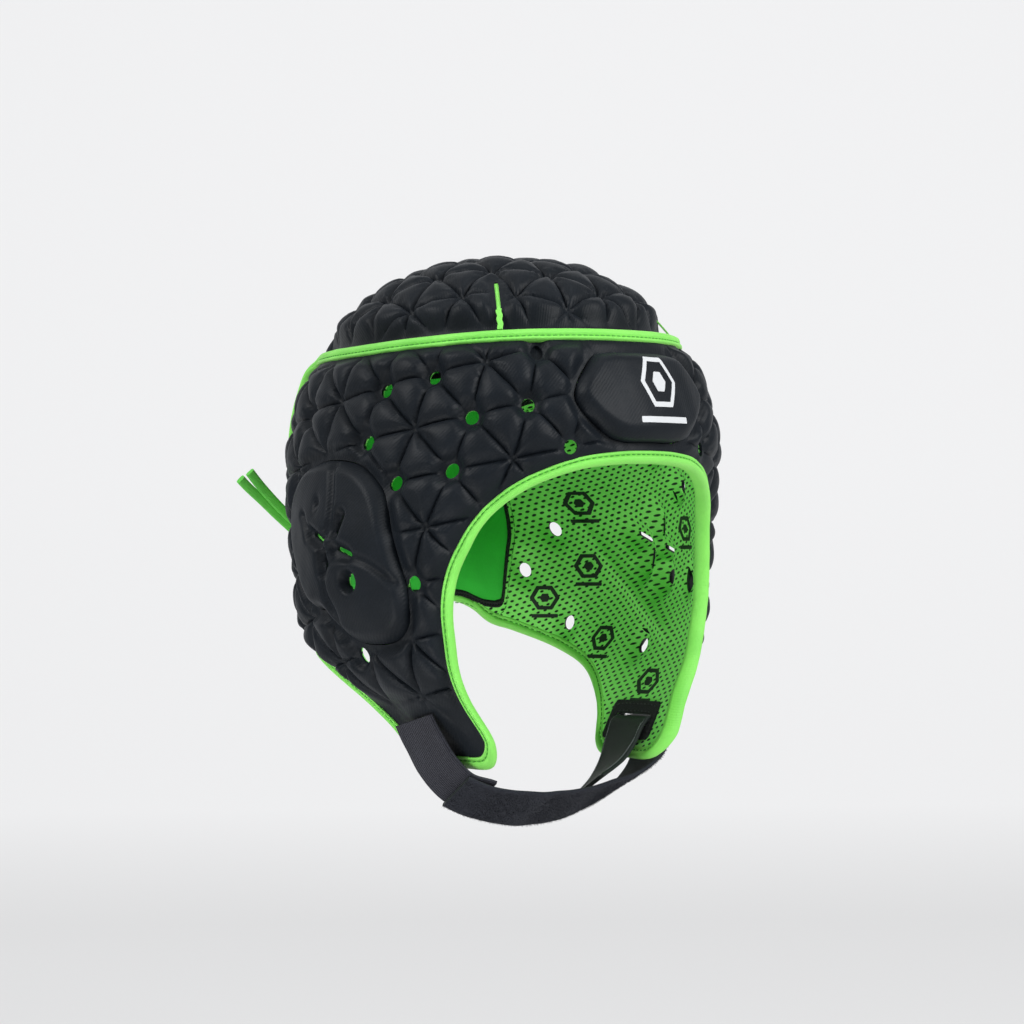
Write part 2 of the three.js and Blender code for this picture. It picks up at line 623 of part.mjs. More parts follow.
// The slot for the chin strap in the left tab
const SLOT_CENTRE = [72.7, 0.926];
const SLOT_LENGTH = STRAP_WIDTH + 10;
const SLOT_HEIGHT = 5.0;
const slotCorners = (grow) => {
  const [u, v] = [along(SLOT_CENTRE[0]), height(SLOT_CENTRE[1])];
  const [du, dv] = [SLOT_LENGTH / 2 + grow, SLOT_HEIGHT / 2 + grow];
  return [[-u - du, v - dv], [-u + du, v - dv], [-u + du, v + dv], [-u - du, v + dv]];
};
const slotCutter = () => cutter(slotCorners(0), -3, WALL + 5);

// Bindings
const roundTape = (from, to) => {
  const half = BINDING_WIDTH / 2 - 0.1;
  const middle = (from + to) / 2;
  const reach = (to - from) / 2;
  return Array.from({ length: 6 }, (_, n) => {
    const turn = ((n + 0.5) * Math.PI) / 3;
    const [x, y] = [Math.cos(turn), Math.sin(turn)];
    const across = half * Math.sign(x) * Math.abs(x) ** 0.6 * 1.05;
    return [across, middle + reach * Math.sign(y) * Math.abs(y) ** 0.6 * 1.05];
  });
};
const inward = (row, amount) => (
  { ...row, u: row.u + amount * row.across[0], v: row.v + amount * row.across[1] }
);
const binding = (run, edge, from, to) => strip(
  frames(run, edge).map((row) => inward(row, BINDING_WIDTH / 2)), roundTape(from, to), onShell,
);
const tuckedBinding = () => {
  const run = smooth(onPattern([...TOP_EDGE, ...REAR_EDGE]), 40);
  return binding([...mirrored(run), ...run.slice(1)], bandEdge, BINDING_TOP - 0.6, TUCK_BACK + 0.1);
};
const openBinding = () => {
  const run = smooth(onPattern([...NECK_EDGE, ...TAB_EDGE, ...FACE_EDGE]), 60);
  return binding([...run, ...mirrored(run).slice(1)], bandEdge, BINDING_TOP, BINDING_BACK);
};
const NAPE_EDGE = [[165, 0.6897], [172, 0.6892], [180, 0.6888]];
const napeBinding = () => {
  const run = smooth(onPattern(NAPE_EDGE), 10);
  return binding([...run, ...mirrored(run).slice(1)], crownEdge, PANEL_FLAT - 1, BINDING_BACK);
};

// A flat ribbon along rows of { at: [x, y, z], out: [x, y, z] }, out being the way its outer face looks
function ribbon(rows, width, thickness, count) {
  const vectors = (name) => new THREE.CatmullRomCurve3(
    rows.map((row) => new THREE.Vector3(...row[name])), false, 'centripetal',
  );
  const [path, facing] = [vectors('at'), vectors('out')];
  const tables = Array.from({ length: count + 1 }, (_, n) => {
    const t = n / count;
    const tangent = path.getTangent(t);
    const out = facing.getPoint(t).projectOnPlane(tangent).normalize();
    return { at: path.getPoint(t), out, across: new THREE.Vector3().crossVectors(tangent, out) };
  });
  const [w, h] = [width / 2, thickness / 2];
  const section = [[-w, -h], [w, -h], [w, h], [-w, h]];
  return strip(tables, section, (row, across, deep) => row.at.clone()
    .addScaledVector(row.across, across).addScaledVector(row.out, deep));
}

// Chin strap: an elastic sewn to the right tab, then a tape that runs under the chin, up the outside of
// the left tab, through its slot and down inside, back to itself
const ELASTIC_ROWS = [
  { at: [-68.5, -21, -194.5], out: [-0.88, -0.12, -0.46] },
  { at: [-64.3, -23.5, -204.5], out: [-0.88, -0.14, -0.46] },
  { at: [-60.2, -26.5, -214], out: [-0.84, -0.2, -0.5] },
  { at: [-53, -31.2, -223.4], out: [-0.68, -0.32, -0.66] },
  { at: [-41.8, -35.6, -228.4], out: [-0.52, -0.42, -0.74] },
];
const STRAP_ROWS = [
  { at: [-54.4, -32, -225.5], out: [-0.68, -0.32, -0.66] },
  { at: [-42.6, -36.6, -230.8], out: [-0.52, -0.42, -0.74] },
  { at: [-22, -39.4, -234.4], out: [-0.20, -0.58, -0.79] },
  { at: [0, -39, -234.6], out: [0.08, -0.58, -0.81] },
  { at: [20, -37, -231.8], out: [0.34, -0.5, -0.79] },
  { at: [40, -34, -227], out: [0.58, -0.34, -0.74] },
  { at: [57.8, -31, -217.5], out: [0.74, -0.2, -0.64] },
  { at: [63.6, -29.2, -209], out: [0.88, -0.12, -0.46] },
  { at: [66.8, -28, -201], out: [0.90, -0.05, -0.3] },
  { at: [66.3, -27.4, -198.4], out: [0.4, -0.05, 0.9] },
  { at: [60, -26.6, -198.4], out: [0, 0, 1] },
  { at: [54, -26.2, -198.7], out: [-0.4, 0.05, 0.9] },
  { at: [50.6, -26.4, -202.5], out: [-0.86, 0.1, 0.5] },
  { at: [43.6, -28.6, -212], out: [-0.80, 0.2, 0.55] },
  { at: [34, -31.4, -220.4], out: [-0.55, 0.35, 0.74] },
  { at: [19, -35.1, -227.9], out: [-0.40, 0.46, 0.79] },
];

// The back lace: loops on the band's rear edges, a lace that crosses between them, its knot and two ends
const LOOP_SHARES = [0.47, 0.545, 0.62];     // depth shares of the three loops a side
const LOOP_REACH = 7;            // how far a loop stands into the gap
const LOOP_WIDTH = 5;
const LOOP_WALL = 0.9;
const LOOP_TOP = 0.4;            // depth of its outer face
const LOOP_BACK = 6.6;           // depth of its inner face
const LACE_DEPTH = (LOOP_TOP + LOOP_BACK) / 2;
const LACE_OVER = LACE_DEPTH - LACE / 2 - 0.3;      // depth of the upper strand where two cross
const LACE_UNDER = LACE_DEPTH + LACE / 2 + 0.3;
const KNOT_SHARE = 0.655;
const KNOT_SIZE = [10, 8, 7];
const KNOT_ENTRY = 0.0155;       // depth share from the knot's middle to the lace's ends

const rearFrames = frames(tuckedRun, bandEdge);
function loopFrame(share, side) {
  const rear = rearFrames.filter((row) => row.u > along(135));
  const v = height(share);
  const row = rear.reduce((best, other) => (Math.abs(other.v - v) < Math.abs(best.v - v) ? other : best));
  return { u: side * row.u, v: row.v, across: [side * row.across[0], row.across[1]] };
}
const beside = (row, across, rise) => [
  row.u + across * row.across[0] - rise * row.across[1] * Math.sign(row.u) * -1,
  row.v + across * row.across[1] + rise * Math.abs(row.across[0]),
];
function laceLoop(share, side) {
  const row = loopFrame(share, side);
  const rectangle = (shrink) => [
    [-GAP - shrink, LOOP_TOP + shrink], [-GAP - LOOP_REACH + shrink, LOOP_TOP + shrink],
    [-GAP - LOOP_REACH + shrink, LOOP_BACK - shrink], [-GAP - shrink, LOOP_BACK - shrink],
  ];
  const ends = [-LOOP_WIDTH / 2, LOOP_WIDTH / 2];
  const rings = ends.flatMap((rise) => [0, LOOP_WALL].map((shrink) => rectangle(shrink)
    .map(([across, deep]) => shell(...beside(row, across, rise), deep))));
  const positions = rings.flat();
  const triangles = [];
  const quad = (p, q, r, t) => triangles.push([p, q, r], [p, r, t]);
  for (let n = 0; n < 4; n += 1) {
    const m = (n + 1) % 4;
    quad(n, m, 8 + m, 8 + n);
    quad(4 + m, 4 + n, 12 + n, 12 + m);
    quad(m, n, 4 + n, 4 + m);
    quad(8 + n, 8 + m, 12 + m, 12 + n);
  }
  return body(positions, triangles);
}
// The lace's route on the pattern, [u, v, depth], through the loops from the lowest up and back down.
// The wearer's left side is counted on past the back centre.
const throughLoop = (n, side, rises) => rises.map((rise) => {
  const [u, v] = beside(loopFrame(LOOP_SHARES[n], 1), -GAP - LOOP_REACH / 2, rise);
  return [side > 0 ? u : 2 * along(180) - u, v, LACE_DEPTH];
});
const atBack = (shift, share, deep) => [along(180) + shift, height(share), deep];
const [LOOP_HIGH, LOOP_MID, LOOP_LOW] = LOOP_SHARES;
const CROSS_HIGH = (LOOP_HIGH + LOOP_MID) / 2;
const CROSS_LOW = (LOOP_MID + LOOP_LOW) / 2;
const LACE_RISE = [-6.5, -3.2, 3.2, 6.5];
const LACE_FALL = [6.5, 3.2, -3.2, -6.5];
const lacePattern = [
  atBack(-2.6, KNOT_SHARE - KNOT_ENTRY, LACE_DEPTH - 2),
  ...throughLoop(2, 1, LACE_RISE), atBack(0, CROSS_LOW, LACE_OVER),
  ...throughLoop(1, -1, LACE_RISE), atBack(0, CROSS_HIGH, LACE_UNDER),
  ...throughLoop(0, 1, LACE_RISE), atBack(0, LOOP_HIGH - 0.03, LACE_DEPTH),
  ...throughLoop(0, -1, LACE_FALL), atBack(0, CROSS_HIGH, LACE_OVER),
  ...throughLoop(1, 1, LACE_FALL), atBack(0, CROSS_LOW, LACE_UNDER),
  ...throughLoop(2, -1, LACE_FALL),
  atBack(2.6, KNOT_SHARE - KNOT_ENTRY, LACE_DEPTH - 2),
];
const laceLine = lacePattern.map((at) => new THREE.Vector3(...at));
const laceRoute = new THREE.CatmullRomCurve3(laceLine, false, 'centripetal')
  .getSpacedPoints(60).map(({ x, y, z }) => shell(x, y, z));
// Free ends of the lace, their routes by hand
const UPPER_TAIL = [
  [-5.6, 84.5, -134.8], [-12, 89, -129.5], [-24, 93.5, -121.5], [-38, 95.5, -112.5],
  [-50, 95, -104.4], [-60, 93.5, -97], [-69, 91.5, -90], [-75.8, 89.5, -84.4],
];
const LOWER_TAIL = [
  [-5.6, 83, -139], [-13, 89.5, -134.5], [-26, 95, -125], [-40, 98, -114.4],
  [-53, 98, -104.9], [-64, 96, -97.4], [-74, 93.5, -91.2], [-80, 91, -87.6],
];

// A cord along a route: a closed section of six sides, `across` by `deep`, extruded along the curve
function cord(route, across, deep, steps) {
  const section = new THREE.Shape(Array.from({ length: 6 }, (_, n) => new THREE.Vector2(
    (across / 2) * Math.cos((n * Math.PI) / 3), (deep / 2) * Math.sin((n * Math.PI) / 3),
  )));
  const extrudePath = new THREE.CatmullRomCurve3(route, false, 'centripetal');
  return welded(new THREE.ExtrudeGeometry(section, { steps, extrudePath, bevelEnabled: false }), 1e-3);
}
const tail = (route) => cord(route.map((at) => new THREE.Vector3(...at)), TAIL_WIDTH, TAIL_THICKNESS, 10);
function knot() {
  const ball = new THREE.SphereGeometry(0.5, 10, 6);
  ball.scale(...KNOT_SIZE);
  ball.translate(...shell(along(180), height(KNOT_SHARE), 0).toArray());
  return welded(ball, 1e-3);
}

const palette = {
  pad: new THREE.MeshStandardMaterial({ color: BLACK, roughness: 0.85 }),
  mesh: new THREE.MeshStandardMaterial({ color: LACE_GREEN, roughness: 0.8 }),
  tape: new THREE.MeshStandardMaterial({ color: 0x4be62a, roughness: 0.75 }),
  lace: new THREE.MeshStandardMaterial({ color: 0x3fdc22, roughness: 0.7 }),
  strap: new THREE.MeshStandardMaterial({ color: 0x111216, roughness: 0.95 }),
};
const guard = new THREE.Group();
guard.name = 'head_guard';
function piece(name, geometry, material) {
  const mesh = new THREE.Mesh(geometry, material);
  mesh.name = name;
  guard.add(mesh);
}

piece('band_pad', cutThrough(padded(padPattern, bandOuter, bandInner, shell), [slotCutter()]), palette.pad);
const crownFace = (x, y) => crownOuter(...crownToBand(x, y));
piece('crown_pad', padded(crownPattern, crownFace, () => CROWN_BACK, placeCrown), palette.pad);
piece('forehead_pad', padded(foreheadPattern, smoothOuter(foreheadEdge), bandInner, shell), palette.pad);
['right', 'left'].forEach((name) => {
  const side = name === 'right' ? 1 : -1;
  const pattern = side > 0 ? earPattern : flip(earPattern);
  const pad = padded(pattern, smoothOuter(earEdge), bandInner, shell);
  piece(`ear_pad_${name}`, cutThrough(pad, earCutters(side)), palette.pad);
});
piece('band_lining', cutThrough(
  padded(liningPattern, () => WALL - LINING, () => WALL, shell),
  [...earCutters(1), ...earCutters(-1), slotCutter()],
), palette.mesh);
piece('crown_lining', padded(crownLiningPattern, () => WALL - LINING, () => WALL, placeCrown), palette.mesh);
piece('top_binding', tuckedBinding(), palette.tape);
piece('face_binding', openBinding(), palette.tape);
piece('nape_binding', napeBinding(), palette.tape);
piece('chin_elastic', ribbon(ELASTIC_ROWS, STRAP_WIDTH, STRAP_THICKNESS, 12), palette.strap);
piece('chin_strap', ribbon(STRAP_ROWS, STRAP_WIDTH, STRAP_THICKNESS, 56), palette.strap);

['right', 'left'].forEach((name, n) => LOOP_SHARES.forEach((share, m) => {
  piece(`lace_loop_${name}_${m + 1}`, laceLoop(share, n === 0 ? 1 : -1), palette.tape);
}));
piece('back_lace', cord(laceRoute, LACE, LACE, 56), palette.lace);
piece('lace_knot', knot(), palette.lace);
piece('lace_tail_upper', tail(UPPER_TAIL), palette.lace);
piece('lace_tail_lower', tail(LOWER_TAIL), palette.lace);

export default guard;
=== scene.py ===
"""Dresses a padded head guard: quilted pads, mesh linings, taped edges, chin strap and back lace.

The pads, linings and tapes are laid on a flat pattern (u round the head, v the height, both in
millimetres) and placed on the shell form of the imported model. Positions in Blender are metres.
"""

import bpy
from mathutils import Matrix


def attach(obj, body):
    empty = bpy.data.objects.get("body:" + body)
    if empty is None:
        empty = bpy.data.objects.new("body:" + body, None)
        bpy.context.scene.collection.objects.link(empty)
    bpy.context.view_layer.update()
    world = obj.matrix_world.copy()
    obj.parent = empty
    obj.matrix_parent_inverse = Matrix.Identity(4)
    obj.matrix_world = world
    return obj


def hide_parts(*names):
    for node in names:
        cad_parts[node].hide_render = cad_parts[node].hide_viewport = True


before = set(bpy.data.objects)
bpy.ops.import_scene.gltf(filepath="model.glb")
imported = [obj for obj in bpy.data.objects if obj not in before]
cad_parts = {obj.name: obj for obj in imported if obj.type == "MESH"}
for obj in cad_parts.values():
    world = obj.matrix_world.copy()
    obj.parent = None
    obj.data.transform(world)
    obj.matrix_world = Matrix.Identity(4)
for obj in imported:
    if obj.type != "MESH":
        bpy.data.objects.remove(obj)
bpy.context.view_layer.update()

import logging
import math
from dataclasses import dataclass, field
from enum import Enum
from typing import Callable, Sequence

import bpy
import numpy as np
from mathutils import Matrix, Vector

LOG = logging.getLogger("head_guard")
MM = 0.001
Array = np.ndarray
Edge = Callable[[Array, Array], Array]
DISTANCE_BLOCK = 20000
SEAM_SHARE = 0.69


class Slot(Enum):
    """Material kinds passed to the stitching, not used further."""

    PAD = "pad"
    MESH = "mesh"
    TAPE = "tape"
    LACE = "lace"
    STRAP = "strap"


class Side(Enum):
    """The wearer's sides, by the sign of u on the pattern."""

    RIGHT = 1
    LEFT = -1


def ease(x: Array) -> Array:
    """Smooth step from 0 to 1."""
    x = np.clip(x, 0.0, 1.0)
    return x * x * (3.0 - 2.0 * x)


def mix(a: Array, b: Array, share: Array) -> Array:
    """Linear blend of a and b."""
    return a + (b - a) * share


def ripple(u: Array, v: Array, size: float, seed: int, octaves: int = 2) -> Array:
    """Smooth repeatable unevenness of cloth.

    Args:
        u: Places along the first direction, in millimetres.
        v: Places along the second direction, in millimetres.
        size: Length of one swell, in millimetres.
        seed: Fixes the pattern.
        octaves: Number of finer layers that are added.

    Returns:
        Values from about -1 to 1.
    """
    rng = np.random.default_rng(seed)
    total = np.zeros(np.broadcast(u, v).shape)
    for octave in range(octaves):
        scale = size / 2**octave
        for _ in range(5):
            angle, phase = rng.uniform(0, 2 * math.pi, 2)
            stretch = rng.uniform(0.7, 1.4)
            turn = (u * math.cos(angle) + v * math.sin(angle)) * 2 * math.pi / (scale * stretch)
            total = total + np.sin(turn + phase) / (3.2 * 2**octave)
    return total
def lengths(points: Array) -> Array:
    """Length run from the first point to each point."""
    return np.concatenate([[0], np.cumsum(np.linalg.norm(np.diff(points, axis=0), axis=1))])


def unit(rows: Array) -> Array:
    """Rows scaled to length 1."""
    return rows / np.linalg.norm(rows, axis=1)[:, None]


def squircle(turn: Array, power: float) -> Array:
    """Points of a rounded square from -1 to 1; a lower power is boxier."""
    x, y = np.cos(turn), np.sin(turn)
    return np.stack([np.sign(x) * np.abs(x) ** power, np.sign(y) * np.abs(y) ** power], 1)


def cell_triangles(corner: Array, count: int) -> Array:
    """Two triangles for each grid cell, from the number of its low corner."""
    return np.concatenate([
        np.stack([corner, corner + count, corner + 1], 1),
        np.stack([corner + count, corner + count + 1, corner + 1], 1),
    ])


def square_grid(half: float, count: int) -> tuple[Array, Array]:
    """A square of fine triangles round the origin, with `count` points along each side."""
    line = np.linspace(-half, half, count)
    u, v = np.meshgrid(line, line, indexing="ij")
    corner = (np.arange(count - 1)[:, None] * count + np.arange(count - 1)[None]).ravel()
    return np.stack([u.ravel(), v.ravel()], 1), cell_triangles(corner, count)


def strip_quads(rows: int, sides: int) -> Array:
    """Faces of an open strip of rows with the same number of points."""
    n = np.arange(rows - 1)[:, None] * sides + np.arange(sides - 1)[None]
    return np.stack([n, n + 1, n + sides + 1, n + sides], -1).reshape(-1, 4)


def ring_pattern(along: Array, around: Array) -> Array:
    """Pattern places of a swept piece, by length along and length around."""
    return np.stack([np.repeat(along, len(around)), np.tile(around, len(along))], 1)

@dataclass
class Spline:
    """A centripetal curve through given points."""

    points: Array
    closed: bool = False

    def at(self, t: Array) -> Array:
        """Points at parameters from 0 to 1, spread evenly over the spans.

        Args:
            t: Parameters along the curve.

        Returns:
            One point for each parameter.
        """
        p = np.asarray(self.points, float)
        n = len(p)
        spans = n if self.closed else n - 1
        x = np.clip(np.asarray(t, float), 0, 1) * spans
        k = np.minimum(x.astype(int), spans - 1)
        w = (x - k)[:, None]

        def pick(i: Array) -> Array:
            """Points by number, carried on past the ends of an open curve."""
            if self.closed:
                return p[i % n]
            low = (2 * p[0] - p[1])[None]
            high = (2 * p[-1] - p[-2])[None]
            return np.concatenate([low, p, high])[i + 1]

        p0, p1, p2, p3 = pick(k - 1), pick(k), pick(k + 1), pick(k + 2)
        d0, d1, d2 = (
            np.maximum(np.linalg.norm(b - a, axis=1), 1e-9)[:, None] ** 0.5
            for a, b in ((p0, p1), (p1, p2), (p2, p3))
        )
        m1 = ((p1 - p0) / d0 - (p2 - p0) / (d0 + d1) + (p2 - p1) / d1) * d1
        m2 = ((p2 - p1) / d1 - (p3 - p1) / (d1 + d2) + (p3 - p2) / d2) * d1
        return p1 + m1 * w + (-3 * p1 + 3 * p2 - 2 * m1 - m2) * w**2 + (2 * p1 - 2 * p2 + m1 + m2) * w**3

    def spaced(self, count: int) -> Array:
        """Points at equal steps along the curve, count + 1 of them, or count where it is closed."""
        fine = self.at(np.linspace(0, 1, 40 * len(self.points)))
        run = lengths(fine)
        want = np.linspace(0, run[-1], count + 1)
        out = np.stack([np.interp(want, run, fine[:, c]) for c in range(fine.shape[1])], axis=1)
        return out[:-1] if self.closed else out


@dataclass
class Shell:
    """The form that every layer follows: a dome, then sides that narrow into two tabs."""

    half_width: float = 92.0
    front_reach: float = 108.0
    rear_reach: float = 108.0
    depth: float = 228.0
    wall: float = 12.0
    dome_depth: float = 107.0
    dome_power: float = 2.3
    flat_radius: float = 105.0
    sections: tuple = (
        (0.000, 1.00, 1.00, 1.00, 1.00), (0.228, 1.00, 1.00, 1.00, 1.00), (0.360, 1.01, 1.00, 0.99, 1.00),
        (0.469, 1.055, 0.963, 0.925, 1.00), (0.570, 1.10, 0.907, 0.80, 1.00),
        (0.667, 1.076, 0.907, 0.75, 0.90), (0.754, 1.00, 0.907, 0.74, 0.70),
        (0.811, 0.935, 0.907, 0.74, 0.55), (0.886, 0.815, 0.907, 0.74, 0.42),
        (0.952, 0.717, 0.907, 0.74, 0.40), (1.040, 0.600, 0.907, 0.74, 0.40),
    )

    def __post_init__(self) -> None:
        """Readies the crown's table of lengths down from the top."""
        v = mix(self.wall, self.height(0.8), np.linspace(0, 1, 241) ** 2)
        line = self.point(np.zeros_like(v), v, 0.0) / MM
        self.crown_v = v
        self.crown_rho = lengths(line)

    def along(self, degrees: float) -> float:
        """Pattern length of an angle round the head."""
        return self.flat_radius * math.radians(degrees)

    def height(self, share: float) -> float:
        """Pattern height of a depth share."""
        return self.wall - share * self.depth

    def column(self, which: int, share: Array) -> Array:
        """Smooth value of one column of the section table, never overshooting.

        Args:
            which: Column of the table, from 1.
            share: Depth shares.

        Returns:
            The value at each share.
        """
        table = np.array(self.sections)
        x, y = table[:, 0], table[:, which]
        rise = np.diff(y) / np.diff(x)
        slope = np.zeros(len(x))
        for n in range(1, len(x) - 1):
            if rise[n - 1] * rise[n] > 0:
                slope[n] = 2 / (1 / rise[n - 1] + 1 / rise[n])
        at = np.clip(share, x[0], x[-1])
        n = np.clip(np.searchsorted(x, at, side="right") - 1, 0, len(x) - 2)
        h = x[n + 1] - x[n]
        p = (at - x[n]) / h
        low = (1 + 2 * p) * (1 - p) ** 2 * y[n] + p * (1 - p) ** 2 * h * slope[n]
        return low + p * p * (3 - 2 * p) * y[n + 1] + p * p * (p - 1) * h * slope[n + 1]

    def point(self, u: Array, v: Array, sink: Array) -> Array:
        """Places pattern points on the shell.

        Args:
            u: Lengths round the head from the front centre, toward the wearer's right.
            v: Heights of the outer face.
            sink: Depths inward from the outer face.

        Returns:
            Positions in metres.
        """
        u, v, sink = np.broadcast_arrays(np.asarray(u, float), np.asarray(v, float), np.asarray(sink, float))
        angle = u / self.flat_radius
        share = (self.wall - v) / self.depth
        widest = self.wall - self.dome_depth
        rise = np.clip((v - widest) / self.dome_depth, 0, 1)
        shrink = (1 - rise**self.dome_power) ** (1 / self.dome_power)
        half = self.half_width * self.column(1, share) - sink
        front = self.front_reach * self.column(2, share) - sink
        rear = self.rear_reach * self.column(3, share) - sink
        across, forward = np.sin(angle), np.cos(angle)
        reach = np.where(forward >= 0, front, rear)
        side = np.sign(across) * np.abs(across) ** self.column(4, share)
        z = np.where(v > widest, widest + (self.dome_depth - sink) * rise, v)
        return np.stack([-half * side * shrink, -reach * forward * shrink, z], axis=-1) * MM

    def to_crown(self, u: Array, v: Array) -> tuple[Array, Array]:
        """Pattern point to the crown's round plane."""
        rho = np.interp(-np.asarray(v), -self.crown_v, self.crown_rho)
        return rho * np.sin(u / self.flat_radius), -rho * np.cos(u / self.flat_radius)

    def from_crown(self, x: Array, y: Array) -> tuple[Array, Array]:
        """Crown plane point to the pattern."""
        v = np.interp(np.hypot(x, y), self.crown_rho, self.crown_v)
        return self.flat_radius * np.arctan2(x, -y), v

    def crown_point(self, x: Array, y: Array, sink: Array) -> Array:
        """Places crown plane points on the shell, in metres."""
        u, v = self.from_crown(x, y)
        return self.point(u, v, sink)


SHELL = Shell()


def polygon_edge(polygon: Array) -> Edge:
    """Signed distance to a closed outline, negative inside.

    Args:
        polygon: Corners of the outline in order.

    Returns:
        The distance function.
    """
    a = np.asarray(polygon, float)
    b = np.roll(a, -1, axis=0)
    d = b - a
    squared = np.maximum((d**2).sum(1), 1e-12)

    def distance(u: Array, v: Array) -> Array:
        """Distance at pattern places, worked out in blocks to save memory.

        Args:
            u: Places along the pattern.
            v: Places up the pattern.

        Returns:
            The distance at each place.
        """
        u, v = np.broadcast_arrays(np.asarray(u, float), np.asarray(v, float))
        out = np.empty(u.size)
        flat_u, flat_v = u.ravel(), v.ravel()
        for start in range(0, u.size, DISTANCE_BLOCK):
            x = flat_u[start:start + DISTANCE_BLOCK, None]
            y = flat_v[start:start + DISTANCE_BLOCK, None]
            share = np.clip(((x - a[:, 0]) * d[:, 0] + (y - a[:, 1]) * d[:, 1]) / squared, 0, 1)
            near = np.hypot(x - a[:, 0] - share * d[:, 0], y - a[:, 1] - share * d[:, 1]).min(1)
            rows = (a[:, 1] > y) != (b[:, 1] > y)
            with np.errstate(divide="ignore", invalid="ignore"):
                cross = a[:, 0] + (y - a[:, 1]) / d[:, 1] * d[:, 0]
            inside = (rows & (x < cross)).sum(1) % 2 == 1
            out[start:start + DISTANCE_BLOCK] = np.where(inside, -near, near)
        return out.reshape(u.shape)

    return distance


@dataclass
class Field:
    """A signed distance kept on a fine grid, so that it is read quickly."""

    edge: Edge
    low: Array
    high: Array
    step: float = 1.25

    def __post_init__(self) -> None:
        """Fills the grid."""
        self.size = np.ceil((np.asarray(self.high) - self.low) / self.step).astype(int) + 1
        u = self.low[0] + np.arange(self.size[0]) * self.step
        v = self.low[1] + np.arange(self.size[1]) * self.step
        self.values = self.edge(*np.meshgrid(u, v, indexing="ij"))

    def __call__(self, u: Array, v: Array) -> Array:
        """Distance at pattern places, held constant outside the grid.

        Args:
            u: Places along the pattern.
            v: Places up the pattern.

        Returns:
            The distance at each place.
        """
        u, v = np.broadcast_arrays(np.asarray(u, float), np.asarray(v, float))
        x = np.clip((u - self.low[0]) / self.step, 0, self.size[0] - 1.001)
        y = np.clip((v - self.low[1]) / self.step, 0, self.size[1] - 1.001)
        i, j = x.astype(int), y.astype(int)
        p, q, grid = x - i, y - j, self.values
        low = mix(grid[i, j], grid[i + 1, j], p)
        return mix(low, mix(grid[i, j + 1], grid[i + 1, j + 1], p), q)

    @classmethod
    def around(cls, outline: Array, margin: float = 42.0) -> "Field":
        """Distance to an outline, over its box and a margin."""
        return cls(polygon_edge(outline), outline.min(0) - margin, outline.max(0) + margin)


def capsule_edge(p: Sequence[float], q: Sequence[float], radius: float) -> Edge:
    """Signed distance to a round-ended slit.

    Args:
        p: One end.
        q: The other end.
        radius: Half the slit's width.

    Returns:
        The distance function.
    """
    ax, ay = p
    dx, dy = q[0] - p[0], q[1] - p[1]

    def distance(u: Array, v: Array) -> Array:
        """Distance at pattern places."""
        share = np.clip(((u - ax) * dx + (v - ay) * dy) / max(dx * dx + dy * dy, 1e-9), 0, 1)
        return np.hypot(u - ax - share * dx, v - ay - share * dy) - radius

    return distance


def box_edge(centre: Sequence[float], half: Sequence[float], corner: float) -> Edge:
    """Signed distance to a rectangle with rounded corners.

    Args:
        centre: Its middle.
        half: Half its width and half its height.
        corner: Radius of its corners.

    Returns:
        The distance function.
    """

    def distance(u: Array, v: Array) -> Array:
        """Distance at pattern places."""
        x = np.abs(u - centre[0]) - half[0] + corner
        y = np.abs(v - centre[1]) - half[1] + corner
        return np.hypot(np.maximum(x, 0), np.maximum(y, 0)) + np.minimum(np.maximum(x, y), 0) - corner

    return distance


